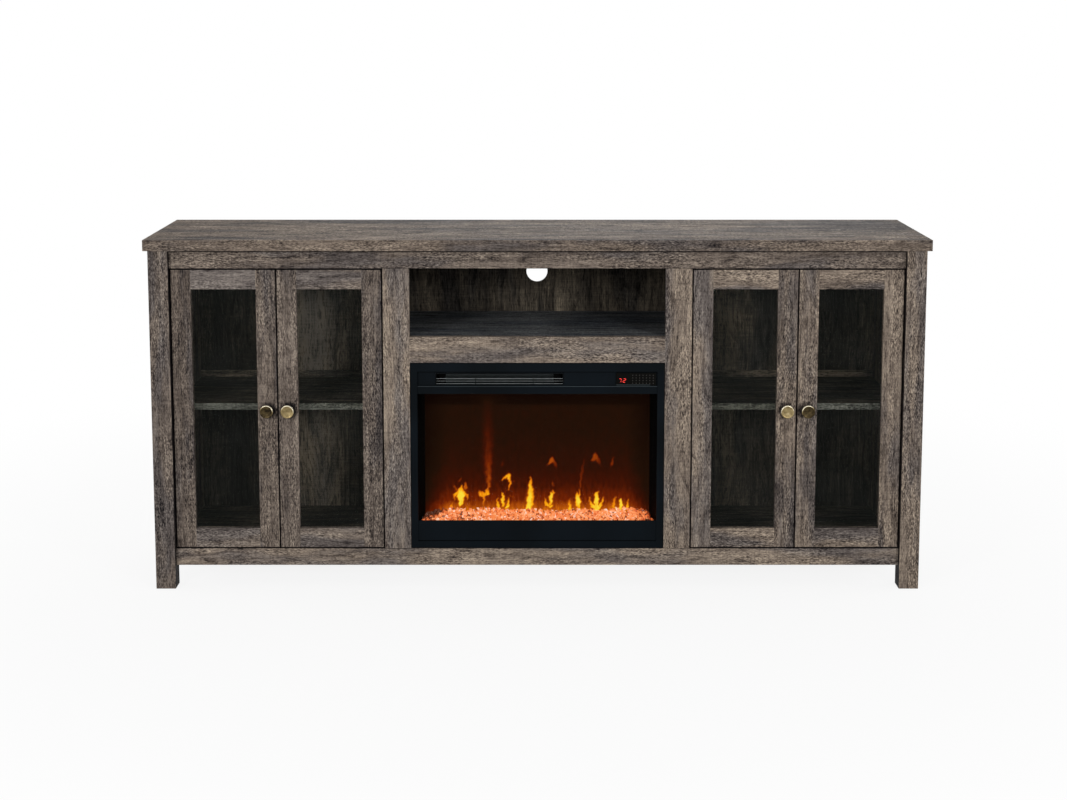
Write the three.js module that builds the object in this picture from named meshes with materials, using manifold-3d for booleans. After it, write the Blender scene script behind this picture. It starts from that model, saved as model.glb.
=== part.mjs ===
// A fireplace TV stand: a plank-look console on four posts, with two pairs of glazed doors,
// an open cubby and an electric fire insert in the middle bay.
// Millimetres. X runs left to right, Y front to back (the front faces -Y) and Z up.
// The origin lies on the floor, under the centre of the stand.

import * as THREE from 'three';
import { mergeVertices } from 'three/addons/utils/BufferGeometryUtils.js';
import Module from 'manifold-3d';

const wasm = await Module();
wasm.setup();

// Overall size
const overallWidth = 1778;
const overallDepth = 406;
const overallHeight = 813;

// Fits shared by all parts
const seatGap = 0.3; // between a part and the seat that it lies in
const overrun = 4; // how far a cutter runs past the face that it cuts

// Top board
const topThickness = 25;
const topSideOverhang = 9;
const topFrontOverhang = 10;
const topRearOverhang = 3;

// Posts and side panels
const postSize = 45;
const sidePanelThickness = 15;
const footHeight = 52; // clear height under the bottom rail

// Face frame
const faceSetback = 15; // behind the front of the posts
const faceThickness = 18;
const apronHeight = 43;
const bottomRailHeight = 40;
const stileWidth = 60.5;
const centreOpeningWidth = 583;
const mantelHeight = 60;
const insertOpeningHeight = 435.5;

// Inner boards
const boardThickness = 15;
const backThickness = 4;
const backSetback = 9; // behind the back panel, to the rear of the rear posts
const shelfTopHeight = 422;
const shelfSetback = 36; // from the back of the doors to the front edge of a shelf
const cableHoleDiameter = 52;
const cableHoleSides = 32;
const cubbyHoleDrop = 101; // from the top board down to the centre of the cubby's cable hole
const fireHoleHeight = 75; // above the bottom panel
const fireHoleOffset = 150; // to the right of the centre

// Doors
const doorGap = 2.5;
const doorThickness = 18;
const doorMemberWidth = 45;
const doorGlassThickness = 3;
const doorGlassSetback = 8;
const doorGlassLap = 5;

// Door knobs
const knobDiameter = 30;
const knobReach = 25;
const knobHeadThickness = 7;
const knobRimBevel = 2;
const knobNeckDiameter = 11;
const knobFootDiameter = 17;
const knobFootThickness = 2.5;
const knobSides = 24;

// Concealed door hinges
const hingeInset = 90; // from the end of a door to the centre of its hinge
const cupDiameter = 35;
const cupDepth = 11.5;
const cupWall = 1.5;
const cupEdgeDistance = 3; // from the edge of the door to the cup
const cupFlangeWidth = 2;
const cupFlangeThickness = 1.2;
const cupEarLength = 54;
const cupEarWidth = 16;
const cupSides = 24;
const armWidth = 12;
const armThickness = 8;
const armLength = 60; // from the back of the door
const armTipReach = 26; // from the edge of the door to the tip over the cup
const armTipThickness = 5;
const plateThickness = 3;
const plateLength = 46;
const plateOverhang = 4; // behind the end of the arm
const plateWidth = 16;
const plateWingLength = 50;
const plateWingWidth = 16;

// Fire insert, front frame
const insertRecess = 2; // behind the face frame
const insertSideGap = 1;
const insertFrameDepth = 12;
const insertRimWidth = 16;
const insertTopRimHeight = 20;
const insertStripHeight = 35;
const insertMidBarHeight = 17;
const insertLowerPanelHeight = 48;
const insertPanelStep = 2; // the bar and the lower panel lie this far behind the rim
const insertStripStep = 5;
const insertSkin = 1.5;
const insertGlassThickness = 4;
const insertGlassLap = 8;

// Fire insert, outlet grille and control panel
const ventWidth = 293;
const ventHeight = 28;
const ventOffset = 86.5; // its centre lies this far left of the middle
const ventRim = 2;
const ventDepth = 3;
const ventWireThickness = 2;
const ventBarWidth = 1.2;
const ventBarPitch = 14;
const controlWidth = 91;
const controlHeight = 29;
const controlThickness = 3;
const controlOffset = 225.5; // its centre lies this far right of the middle

// Fire insert, steel box
const housingWidth = 558;
const housingDepth = 152;
const housingHeight = 428;
const housingWall = 1.5;
const deckDrop = 60; // from the roof of the box down to the deck under the heater
const bedShelfHeight = 42; // above the floor of the box
const bedDepth = 78;
const cheekInset = 14; // how far the side cheeks close in towards the screen
const bearingPlateDepth = 50;

// Fire insert, flame parts
const screenThickness = 3;
const trayThickness = 11;
const crystalColumns = 26;
const crystalRows = 2;
const crystalSize = 8.5;
const crystalSizeShares = [0.85, 0.15]; // the mean, and the swing to either side of it
const crystalShiftShares = [0.2, 0.1]; // of the pitch, along and across the rows
const crystalTurns = [2.4, 1.9]; // radians from row to row, and along a row
const rotorHeight = 31; // of its axle above the floor of the box
const rotorSetback = 34; // of its axle behind the screen
const rotorRadius = 20;
const rotorShaftDiameter = 6;
const rotorSides = 16;
const vaneCount = 13;
const vaneThickness = 1;
const vaneLengthShare = 0.8; // of the pitch of the vanes
const vaneTurn = 50; // degrees from one vane to the next
const ledBoardWidth = 500;
const ledBoardDepth = 24;
const ledBoardThickness = 1.6;
const ledBoardSetback = 16; // behind the front of the box
const ledCount = 16;
const ledSize = 5;
const ledHeight = 1.5;

// Fire insert, heater parts
const heaterSetback = 8; // behind the front of the box
const heaterLength = 280;
const heaterFinWidth = 26;
const heaterFinDepth = 14;
const heaterFinThickness = 1;
const heaterFinCount = 29;
const heaterCore = 8;
const wheelLength = 262;
const wheelRadius = 23;
const wheelSetback = 66; // of its axle behind the front of the box
const wheelDiscThickness = 2;
const wheelBladeCount = 16;
const wheelBladeWidth = 7;
const wheelBladeThickness = 1;
const wheelShaftDiameter = 6;
const wheelShaftOverhang = 4; // past the plate that carries its free end
const wheelShaftSocket = 20; // how far the other end runs past its plate, into the motor
const wheelSides = 32;
const motorDiameter = 46;
const motorLength = 40;
const motorFootWidth = 24;
const motorSides = 24;
const glandDiameter = 14;
const glandFlangeDiameter = 21;
const glandFlangeThickness = 3;
const glandReach = 14; // behind the box
const glandInnerReach = 4; // inside the wall of the box
const glandBore = 7;
const glandOffset = 150;
const glandHeight = 60;
const glandSides = 24;

// Planes and edges that the parts share
const topUnderZ = overallHeight - topThickness;
const postOuterX = overallWidth / 2 - topSideOverhang;
const postInnerX = postOuterX - postSize;
const frontPostY = -overallDepth / 2 + topFrontOverhang;
const rearPostY = overallDepth / 2 - topRearOverhang;
const faceY = frontPostY + faceSetback;
const faceBackY = faceY + faceThickness;
const backPanelY = rearPostY - backSetback - backThickness;
const bottomTopZ = footHeight + bottomRailHeight;
const apronUnderZ = topUnderZ - apronHeight;
const stileInnerX = centreOpeningWidth / 2;
const stileOuterX = stileInnerX + stileWidth;
const insertTopZ = bottomTopZ + insertOpeningHeight;
const mantelTopZ = insertTopZ + mantelHeight;
const dividerInnerX = stileOuterX - boardThickness;

// Finishes, from the photograph
const woodColour = 0x6a5f58;
const darkWoodColour = 0x3c3733;
const brassColour = 0x8c7a52;
const steelColour = 0x16191d;
const zincColour = 0xa8abad;

function finish(color, roughness, metalness, opacity = 1) {
  return new THREE.MeshStandardMaterial({
    color,
    roughness,
    metalness,
    opacity,
    transparent: opacity < 1,
  });
}

function wood() {
  return finish(woodColour, 0.75, 0);
}

function darkWood() {
  return finish(darkWoodColour, 0.8, 0);
}

function blackSteel() {
  return finish(steelColour, 0.45, 0.6);
}

function zinc() {
  return finish(zincColour, 0.35, 1);
}

function clearGlass(opacity) {
  return finish(0xdfe6e4, 0.05, 0, opacity);
}

// A box between two limits on each axis, given in either order.
function slab(x, y, z) {
  const box = new THREE.BoxGeometry(1, 1, 1);
  const corners = box.attributes.position;
  const limits = [x, y, z].map(([a, b]) => [Math.min(a, b), Math.max(a, b)]);
  for (let i = 0; i < corners.count; i += 1) {
    const sides = [corners.getX(i), corners.getY(i), corners.getZ(i)];
    const place = sides.map((side, axis) => limits[axis][side < 0 ? 0 : 1]);
    corners.setXYZ(i, ...place);
  }
  return box;
}

// A round bar along Y, between y[0] and y[1].
function barAlongY(diameter, x, y, z, sides) {
  const bar = new THREE.CylinderGeometry(diameter / 2, diameter / 2, y[1] - y[0], sides);
  return bar.translate(x, (y[0] + y[1]) / 2, z);
}

// A round bar along X, between x[0] and x[1].
function barAlongX(diameter, x, y, z, sides) {
  const bar = new THREE.CylinderGeometry(diameter / 2, diameter / 2, x[1] - x[0], sides);
  return bar.rotateZ(Math.PI / 2).translate((x[0] + x[1]) / 2, y, z);
}

// A plan outline carried straight up from z[0] to z[1].
function plan(points, z) {
  const outline = new THREE.Shape(points.map(([x, y]) => new THREE.Vector2(x, y)));
  const block = new THREE.ExtrudeGeometry(outline, { depth: z[1] - z[0], bevelEnabled: false });
  return block.translate(0, 0, z[0]);
}

// A turned part about the Y axis, from points of radius and distance.
function turned(profile, sides) {
  return new THREE.LatheGeometry(profile.map(([r, y]) => new THREE.Vector2(r, y)), sides);
}

// Shared vertices merged, empty triangles dropped and the faces turned out.
function closed(geometry) {
  const bare = geometry.clone();
  bare.deleteAttribute('normal');
  bare.deleteAttribute('uv');
  const merged = mergeVertices(bare);
  const place = merged.attributes.position;
  const corner = [new THREE.Vector3(), new THREE.Vector3(), new THREE.Vector3()];
  const kept = [];
  let volume = 0;
  for (let i = 0; i < merged.index.count; i += 3) {
    const [a, b, c] = [0, 1, 2].map((k) => merged.index.getX(i + k));
    if (a === b || b === c || c === a) continue;
    [a, b, c].forEach((vertex, k) => corner[k].fromBufferAttribute(place, vertex));
    volume += corner[0].dot(corner[1].cross(corner[2]));
    kept.push([a, b, c]);
  }
  const facing = volume < 0 ? kept.map(([a, b, c]) => [a, c, b]) : kept;
  merged.setIndex(facing.flat());
  return merged;
}

function solid(geometry) {
  const mesh = closed(geometry);
  return new wasm.Manifold(new wasm.Mesh({
    numProp: 3,
    vertProperties: Float32Array.from(mesh.attributes.position.array),
    triVerts: Uint32Array.from(mesh.index.array),
  }));
}

// The shapes in one list joined, and those in the other cut away.
function shaped(joined, cut = []) {
  let body = solid(joined[0]);
  for (const shape of joined.slice(1)) body = body.add(solid(shape));
  for (const shape of cut) body = body.subtract(solid(shape));
  const mesh = body.getMesh();
  const geometry = new THREE.BufferGeometry();
  geometry.setAttribute('position', new THREE.BufferAttribute(mesh.vertProperties, 3));
  geometry.setIndex(new THREE.BufferAttribute(mesh.triVerts, 1));
  geometry.computeVertexNormals();
  return geometry;
}

function part(name, geometry, material) {
  const mesh = new THREE.Mesh(geometry, material);
  mesh.name = name;
  return mesh;
}

// Posts, boards and rails of the cabinet
function carcass() {
  const group = new THREE.Group();
  const faceDepth = [faceY, faceBackY];
  const innerDepth = [faceBackY, backPanelY];
  const underTop = topUnderZ;

  group.add(part('top_panel', slab(
    [-overallWidth / 2, overallWidth / 2],
    [-overallDepth / 2, overallDepth / 2],
    [underTop, overallHeight],
  ), wood()));

  for (const [side, way] of [['left', -1], ['right', 1]]) {
    const postX = [way * postInnerX, way * postOuterX];
    const postZ = [0, underTop];
    const frontDepth = [frontPostY, frontPostY + postSize];
    const rearDepth = [rearPostY - postSize, rearPostY];
    const panelX = [way * postInnerX, way * (postInnerX + sidePanelThickness)];
    group.add(part(`leg_front_${side}`, slab(postX, frontDepth, postZ), wood()));
    group.add(part(`leg_rear_${side}`, slab(postX, rearDepth, postZ), wood()));
    group.add(part(`side_panel_${side}`, slab(
      panelX,
      [frontDepth[1], rearDepth[0]],
      [footHeight, underTop],
    ), wood()));
    group.add(part(`stile_${side}`, slab(
      [way * stileInnerX, way * stileOuterX],
      faceDepth,
      [bottomTopZ, apronUnderZ],
    ), wood()));
    group.add(part(`divider_${side}`, slab(
      [way * dividerInnerX, way * stileOuterX],
      innerDepth,
      [bottomTopZ, underTop],
    ), darkWood()));
    group.add(part(`shelf_${side}`, slab(
      [way * stileOuterX, way * postInnerX],
      [faceY + doorThickness + shelfSetback, backPanelY],
      [shelfTopHeight - boardThickness, shelfTopHeight],
    ), darkWood()));
  }

  const betweenPosts = [-postInnerX, postInnerX];
  group.add(part('apron_rail', slab(betweenPosts, faceDepth, [apronUnderZ, underTop]), wood()));
  group.add(part('bottom_rail', slab(betweenPosts, faceDepth, [footHeight, bottomTopZ]), wood()));
  group.add(part('mantel_rail', slab(
    [-stileInnerX, stileInnerX],
    faceDepth,
    [insertTopZ, mantelTopZ],
  ), wood()));
  group.add(part('bottom_panel', slab(
    betweenPosts,
    innerDepth,
    [bottomTopZ - boardThickness, bottomTopZ],
  ), darkWood()));
  group.add(part('cubby_shelf', slab(
    [-dividerInnerX, dividerInnerX],
    innerDepth,
    [mantelTopZ - boardThickness, mantelTopZ],
  ), darkWood()));
  group.add(backPanel());
  return group;
}

// The back panel, with a cable hole behind the cubby and another behind the fire
function backPanel() {
  const depth = [backPanelY, backPanelY + backThickness];
  const cutDepth = [depth[0] - overrun, depth[1] + overrun];
  const sheet = slab([-postInnerX, postInnerX], depth, [bottomTopZ - boardThickness, topUnderZ]);
  const cubbyHole = barAlongY(cableHoleDiameter, 0, cutDepth, topUnderZ - cubbyHoleDrop, cableHoleSides);
  const fireHole = barAlongY(
    cableHoleDiameter,
    fireHoleOffset,
    cutDepth,
    bottomTopZ + fireHoleHeight,
    cableHoleSides,
  );
  return part('back_panel', shaped([sheet], [cubbyHole, fireHole]), darkWood());
}

// Doors. Each is built from its hinge edge, at the front face and the bottom of the door, and
// runs to the side that its way gives.
const doorOpeningWidth = postInnerX - stileOuterX;
const doorWidth = (doorOpeningWidth - 3 * doorGap) / 2;
const doorBottomZ = bottomTopZ + doorGap;
const doorHeight = apronUnderZ - doorGap - doorBottomZ;
const hingeHeights = { lower: hingeInset, upper: doorHeight - hingeInset };
const cupCentre = cupEdgeDistance + cupDiameter / 2;

const doorPlaces = [
  { name: 'left_outer', jambX: -postInnerX, way: 1 },
  { name: 'left_inner', jambX: -stileOuterX, way: -1 },
  { name: 'right_inner', jambX: stileOuterX, way: 1 },
  { name: 'right_outer', jambX: postInnerX, way: -1 },
];

function door({ name, jambX, way }) {
  const group = new THREE.Group();
  group.position.set(jambX + way * doorGap, faceY, doorBottomZ);
  group.add(part(`door_${name}_frame`, doorFrame(way), wood()));
  group.add(part(`door_${name}_glass`, doorGlass(way), clearGlass(0.3)));

  const knob = part(`door_${name}_knob`, doorKnob(), finish(brassColour, 0.35, 1));
  knob.position.set(way * (doorWidth - doorMemberWidth / 2), 0, doorHeight / 2);
  group.add(knob);

  for (const [level, height] of Object.entries(hingeHeights)) {
    const cup = part(`door_${name}_hinge_cup_${level}`, hingeCup(), zinc());
    cup.position.set(way * cupCentre, doorThickness, height);
    group.add(cup);
  }
  return group;
}

// A glued-up frame of two stiles and two rails, rebated behind for the glass
function doorFrame(way) {
  const window = [doorMemberWidth, doorWidth - doorMemberWidth];
  const windowZ = [doorMemberWidth, doorHeight - doorMemberWidth];
  const lapped = ([low, high]) => [low - doorGlassLap, high + doorGlassLap];
  const sided = ([low, high]) => [way * low, way * high];
  const outer = slab(sided([0, doorWidth]), [0, doorThickness], [0, doorHeight]);
  const opening = slab(sided(window), [-overrun, doorThickness + overrun], windowZ);
  const rebate = slab(
    sided(lapped(window)),
    [doorGlassSetback, doorThickness + overrun],
    lapped(windowZ),
  );
  const bores = Object.values(hingeHeights).map((height) => barAlongY(
    cupDiameter + 2 * seatGap,
    way * cupCentre,
    [doorThickness - cupDepth - seatGap, doorThickness + overrun],
    height,
    cupSides,
  ));
  return shaped([outer], [opening, rebate, ...bores]);
}

function doorGlass(way) {
  const edge = doorMemberWidth - doorGlassLap + seatGap;
  const front = doorGlassSetback + seatGap;
  return slab(
    [way * edge, way * (doorWidth - edge)],
    [front, front + doorGlassThickness],
    [edge, doorHeight - edge],
  );
}

// A round knob with a flat face, turned about Y, its foot against the door
function doorKnob() {
  const faceEnd = -knobReach;
  const rimStart = faceEnd + knobRimBevel;
  const headBack = faceEnd + knobHeadThickness;
  const headRadius = knobDiameter / 2;
  const neckRadius = knobNeckDiameter / 2;
  const footRadius = knobFootDiameter / 2;
  return closed(turned([
    [0, faceEnd],
    [headRadius - knobRimBevel, faceEnd],
    [headRadius, rimStart],
    [headRadius, headBack - knobRimBevel],
    [headRadius - knobRimBevel, headBack],
    [neckRadius, headBack + knobRimBevel],
    [neckRadius, -seatGap - 2 * knobFootThickness],
    [footRadius, -seatGap - knobFootThickness],
    [footRadius, -seatGap],
    [0, -seatGap],
  ], knobSides));
}

// The door half of a concealed hinge: a cup let into the door, with a flange and two ears
function hingeCup() {
  const flange = [seatGap, seatGap + cupFlangeThickness];
  const outer = barAlongY(cupDiameter, 0, [-cupDepth, flange[1]], 0, cupSides);
  const rim = barAlongY(cupDiameter + 2 * cupFlangeWidth, 0, flange, 0, cupSides);
  const ears = slab(
    [-cupEarWidth / 2, cupEarWidth / 2],
    flange,
    [-cupEarLength / 2, cupEarLength / 2],
  );
  const hollow = barAlongY(
    cupDiameter - 2 * cupWall,
    0,
    [cupWall - cupDepth, flange[1] + overrun],
    0,
    cupSides,
  );
  return shaped([outer, rim, ears], [hollow]);
}

// The cabinet half of a concealed hinge: a cross plate on the panel and a cranked arm whose tip
// lies over the cup
function hingeArm({ jambX, way }, height) {
  const doorBackY = faceY + doorThickness;
  const tipFrontY = doorBackY + cupFlangeThickness + 2 * seatGap;
  const tipBackY = tipFrontY + armTipThickness;
  const armEndY = doorBackY + armLength;
  const plateEndY = armEndY + plateOverhang;
  const plateStartY = plateEndY - plateLength;
  const wingMiddleY = (plateStartY + plateEndY) / 2;
  const away = (distance) => jambX + way * distance;
  const near = plateThickness;
  const far = plateThickness + armThickness;
  const outline = [
    [away(near), armEndY],
    [away(near), tipBackY + armTipThickness],
    [away(doorGap + cupEdgeDistance), tipFrontY],
    [away(doorGap + armTipReach), tipFrontY],
    [away(doorGap + armTipReach), tipBackY],
    [away(far + armTipThickness), tipBackY],
    [away(far), tipBackY + armTipThickness],
    [away(far), armEndY],
  ];
  const arm = plan(outline, [height - armWidth / 2, height + armWidth / 2]);
  const plate = slab(
    [away(0), away(near)],
    [plateStartY, plateEndY],
    [height - plateWidth / 2, height + plateWidth / 2],
  );
  const wings = slab(
    [away(0), away(near)],
    [wingMiddleY - plateWingWidth / 2, wingMiddleY + plateWingWidth / 2],
    [height - plateWingLength / 2, height + plateWingLength / 2],
  );
  return shaped([arm, plate, wings]);
}

function hingeArms() {
  const group = new THREE.Group();
  for (const place of doorPlaces) {
    for (const [level, height] of Object.entries(hingeHeights)) {
      const name = `hinge_arm_${place.name}_${level}`;
      group.add(part(name, hingeArm(place, doorBottomZ + height), zinc()));
    }
  }
  return group;
}

// Fire insert. Its own frame starts at the middle of its front, on the bottom panel.
const insertHalfWidth = centreOpeningWidth / 2 - insertSideGap;
const insertHeight = insertOpeningHeight - insertSideGap - seatGap;
const windowHalfWidth = insertHalfWidth - insertRimWidth;
const lowerPanelZ = [seatGap + insertRimWidth, seatGap + insertRimWidth + insertLowerPanelHeight];
const stripTop = seatGap + insertHeight - insertTopRimHeight;
const stripZ = [stripTop - insertStripHeight, stripTop];
const windowZ = [lowerPanelZ[1], stripZ[0] - insertMidBarHeight];
const stripMiddleZ = (stripZ[0] + stripZ[1]) / 2;
const skinBackY = insertStripStep + insertSkin;

const boxFrontY = insertFrameDepth + seatGap;
const boxBackY = boxFrontY + housingDepth;
const boxFloorZ = seatGap + housingWall;
const boxRoofZ = seatGap + housingHeight - housingWall;
const boxInnerX = housingWidth / 2 - housingWall;
const deckTopZ = boxRoofZ - deckDrop;
const bedShelfTopZ = boxFloorZ + bedShelfHeight;
const screenFrontY = boxFrontY + bedDepth;
const screenBackY = screenFrontY + screenThickness;
const rotorY = screenBackY + rotorSetback;
const rotorZ = boxFloorZ + rotorHeight;
const wheelY = boxFrontY + wheelSetback;
const wheelZ = (deckTopZ + boxRoofZ) / 2;
const bearingX = [-ventOffset - ventWidth / 2, -ventOffset + ventWidth / 2];

// The front frame: a rim, a strip for the outlet and controls, a bar, and a panel under the glass
function insertFrame() {
  const through = [-overrun, insertFrameDepth + overrun];
  const glassX = [-windowHalfWidth, windowHalfWidth];
  const outer = slab(
    [-insertHalfWidth, insertHalfWidth],
    [0, insertFrameDepth],
    [seatGap, seatGap + insertHeight],
  );
  const hollow = slab(
    [insertSkin - insertHalfWidth, insertHalfWidth - insertSkin],
    [skinBackY, insertFrameDepth + overrun],
    [seatGap + insertSkin, seatGap + insertHeight - insertSkin],
  );
  return shaped([outer], [
    hollow,
    slab(glassX, through, windowZ),
    slab(glassX, [-overrun, insertPanelStep], [windowZ[1], stripZ[0]]),
    slab(glassX, [-overrun, insertPanelStep], lowerPanelZ),
    slab(glassX, [-overrun, insertStripStep], stripZ),
    slab(ventLimits(0).x, through, ventLimits(0).z),
  ]);
}

// The outlet's width and height, drawn in by a margin on every side
function ventLimits(margin) {
  const half = [ventWidth / 2 - margin, ventHeight / 2 - margin];
  return {
    x: [-ventOffset - half[0], -ventOffset + half[0]],
    z: [stripMiddleZ - half[1], stripMiddleZ + half[1]],
  };
}

// A rim with a wire along its middle and thin upright bars, let into the outlet
function ventGrille() {
  const rim = ventLimits(seatGap);
  const hole = ventLimits(seatGap + ventRim);
  const front = insertStripStep - ventDepth / 2;
  const depth = [front, front + ventDepth];
  const outer = slab(rim.x, depth, rim.z);
  const opening = slab(hole.x, [depth[0] - overrun, depth[1] + overrun], hole.z);
  const barCount = Math.floor((hole.x[1] - hole.x[0]) / ventBarPitch);
  const pitch = (hole.x[1] - hole.x[0]) / barCount;
  const barDepth = [depth[1] - ventBarWidth, depth[1]];
  const inRim = [rim.z[0] + ventRim / 2, rim.z[1] - ventRim / 2];
  const bars = [];
  for (let i = 1; i < barCount; i += 1) {
    const middle = hole.x[0] + i * pitch;
    bars.push(slab([middle - ventBarWidth / 2, middle + ventBarWidth / 2], barDepth, inRim));
  }
  const wire = slab(
    [rim.x[0] + ventRim / 2, rim.x[1] - ventRim / 2],
    [depth[0], depth[0] + ventWireThickness],
    [stripMiddleZ - ventWireThickness / 2, stripMiddleZ + ventWireThickness / 2],
  );
  const frame = shaped([outer], [opening]);
  return shaped([frame, wire, ...bars]);
}

function controlPanel() {
  const backY = insertStripStep - seatGap;
  return slab(
    [controlOffset - controlWidth / 2, controlOffset + controlWidth / 2],
    [backY - controlThickness, backY],
    [stripMiddleZ - controlHeight / 2, stripMiddleZ + controlHeight / 2],
  );
}

function insertGlass() {
  const halfWidth = windowHalfWidth + insertGlassLap;
  const front = skinBackY + seatGap;
  return slab(
    [-halfWidth, halfWidth],
    [front, front + insertGlassThickness],
    [windowZ[0] - insertGlassLap, windowZ[1] + insertGlassLap],
  );
}

// The steel box, open in front, with the heater's deck, the shelf under the ember bed, the
// cheeks beside the flames and the plates that carry the fan
function insertHousing() {
  const half = housingWidth / 2;
  const inX = [-boxInnerX, boxInnerX];
  const shell = slab([-half, half], [boxFrontY, boxBackY], [seatGap, seatGap + housingHeight]);
  const hollow = slab(inX, [boxFrontY - overrun, boxBackY - housingWall], [boxFloorZ, boxRoofZ]);
  const deckZ = [deckTopZ - housingWall, deckTopZ];
  const wallX = [-half + housingWall / 2, half - housingWall / 2];
  const deck = slab(wallX, [boxFrontY, boxBackY - housingWall / 2], deckZ);
  const bedShelf = slab(
    wallX,
    [boxFrontY, screenBackY + seatGap],
    [bedShelfTopZ - housingWall, bedShelfTopZ],
  );
  const cheekZ = [bedShelfTopZ - housingWall / 2, deckTopZ - housingWall / 2];
  const cheeks = [-1, 1].map((way) => plan([
    [way * (boxInnerX + housingWall / 2), boxFrontY],
    [way * (boxInnerX - housingWall), boxFrontY],
    [way * (boxInnerX - cheekInset), screenFrontY - seatGap],
    [way * (boxInnerX - cheekInset + housingWall), screenFrontY - seatGap],
  ], cheekZ));
  const bearingPlates = bearingX.map((x) => slab(
    [x - housingWall / 2, x + housingWall / 2],
    [wheelY - bearingPlateDepth / 2, wheelY + bearingPlateDepth / 2],
    [deckTopZ - housingWall / 2, boxRoofZ + housingWall / 2],
  ));
  const throughX = [-half - overrun, half + overrun];
  const rotorBore = barAlongX(
    rotorShaftDiameter + 2 * seatGap,
    throughX,
    rotorY,
    rotorZ,
    rotorSides,
  );
  const wheelBore = barAlongX(
    wheelShaftDiameter + 2 * seatGap,
    [bearingX[0] - overrun, bearingX[1] + overrun],
    wheelY,
    wheelZ,
    rotorSides,
  );
  const glandHole = barAlongY(
    glandDiameter + 2 * seatGap,
    glandOffset,
    [boxBackY - housingWall - overrun, boxBackY + overrun],
    boxFloorZ + glandHeight,
    glandSides,
  );
  const body = shaped([shell], [hollow]);
  const fitted = [deck, bedShelf, ...cheeks, ...bearingPlates];
  return shaped([body, ...fitted], [rotorBore, wheelBore, glandHole]);
}

function flameScreen() {
  const halfWidth = boxInnerX - seatGap;
  return slab(
    [-halfWidth, halfWidth],
    [screenFrontY, screenBackY],
    [bedShelfTopZ + seatGap, deckTopZ - housingWall - seatGap],
  );
}

// The ember bed: a tray between the cheeks, with clear crystals heaped on it in rows
function emberBed() {
  const frontY = boxFrontY + seatGap;
  const backY = screenFrontY - seatGap;
  const trayZ = [bedShelfTopZ + seatGap, bedShelfTopZ + seatGap + trayThickness];
  const frontHalf = boxInnerX - housingWall - 2 * seatGap;
  const backHalf = boxInnerX - cheekInset - 2 * seatGap;
  const tray = plan([
    [-frontHalf, frontY],
    [frontHalf, frontY],
    [backHalf, backY],
    [-backHalf, backY],
  ], trayZ);
  const crystals = [];
  const rowPitch = (backY - frontY) / crystalRows;
  const columnPitch = 2 * (backHalf - crystalSize) / crystalColumns;
  for (let row = 0; row < crystalRows; row += 1) {
    for (let column = 0; column < crystalColumns; column += 1) {
      const turn = row * crystalTurns[0] + column * crystalTurns[1];
      const sizeShare = crystalSizeShares[0] + crystalSizeShares[1] * Math.sin(3 * turn);
      const along = column + 0.5 - crystalColumns / 2 + crystalShiftShares[0] * Math.sin(turn);
      const across = row + 0.5 + crystalShiftShares[1] * Math.cos(2 * turn);
      const x = along * columnPitch;
      const y = frontY + across * rowPitch;
      const crystal = new THREE.IcosahedronGeometry(crystalSize * sizeShare, 0);
      crystals.push(crystal.rotateX(turn).rotateZ(2 * turn).translate(x, y, trayZ[1]));
    }
  }
  return shaped([tray, ...crystals]);
}

// A shaft with flat reflecting vanes set round it, which throws moving light on the screen
function flickerRotor() {
  const end = housingWidth / 2;
  const shaft = barAlongX(rotorShaftDiameter, [-end, end], 0, 0, rotorSides);
  const run = 2 * (boxInnerX - cheekInset);
  const pitch = run / vaneCount;
  const halfLength = pitch * vaneLengthShare / 2;
  const vanes = [];
  for (let i = 0; i < vaneCount; i += 1) {
    const middle = (i + 0.5) * pitch - run / 2;
    const vane = slab(
      [-halfLength, halfLength],
      [-rotorRadius, rotorRadius],
      [-vaneThickness / 2, vaneThickness / 2],
    );
    vanes.push(vane.rotateX(THREE.MathUtils.degToRad(i * vaneTurn)).translate(middle, 0, 0));
  }
  return shaped([shaft, ...vanes]);
}

// A strip of lamps on the floor of the box, under the ember bed
function ledBoard() {
  const half = ledBoardWidth / 2;
  const y = [boxFrontY + ledBoardSetback, boxFrontY + ledBoardSetback + ledBoardDepth];
  const z = [boxFloorZ + seatGap, boxFloorZ + seatGap + ledBoardThickness];
  const middleY = (y[0] + y[1]) / 2;
  const pitch = ledBoardWidth / ledCount;
  const lamps = [];
  for (let i = 0; i < ledCount; i += 1) {
    const x = (i + 0.5) * pitch - half;
    lamps.push(slab(
      [x - ledSize / 2, x + ledSize / 2],
      [middleY - ledSize / 2, middleY + ledSize / 2],
      [z[1] - ledBoardThickness / 2, z[1] + ledHeight],
    ));
  }
  return shaped([slab([-half, half], y, z), ...lamps]);
}

// A finned heater bar behind the outlet, with a foot at each end on the deck
function heaterElement() {
  const y = [boxFrontY + heaterSetback, boxFrontY + heaterSetback + heaterFinDepth];
  const middleY = (y[0] + y[1]) / 2;
  const finZ = [wheelZ - heaterFinWidth / 2, wheelZ + heaterFinWidth / 2];
  const end = heaterLength / 2;
  const core = slab(
    [-ventOffset - end, -ventOffset + end],
    [middleY - heaterCore / 2, middleY + heaterCore / 2],
    [wheelZ - heaterCore / 2, wheelZ + heaterCore / 2],
  );
  const pitch = (heaterLength - heaterFinThickness) / (heaterFinCount - 1);
  const fins = [];
  for (let i = 0; i < heaterFinCount; i += 1) {
    const x = -ventOffset - end + i * pitch;
    const isFoot = i === 0 || i === heaterFinCount - 1;
    const low = isFoot ? deckTopZ + seatGap : finZ[0];
    fins.push(slab([x, x + heaterFinThickness], y, [low, finZ[1]]));
  }
  return shaped([core, ...fins]);
}

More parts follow.
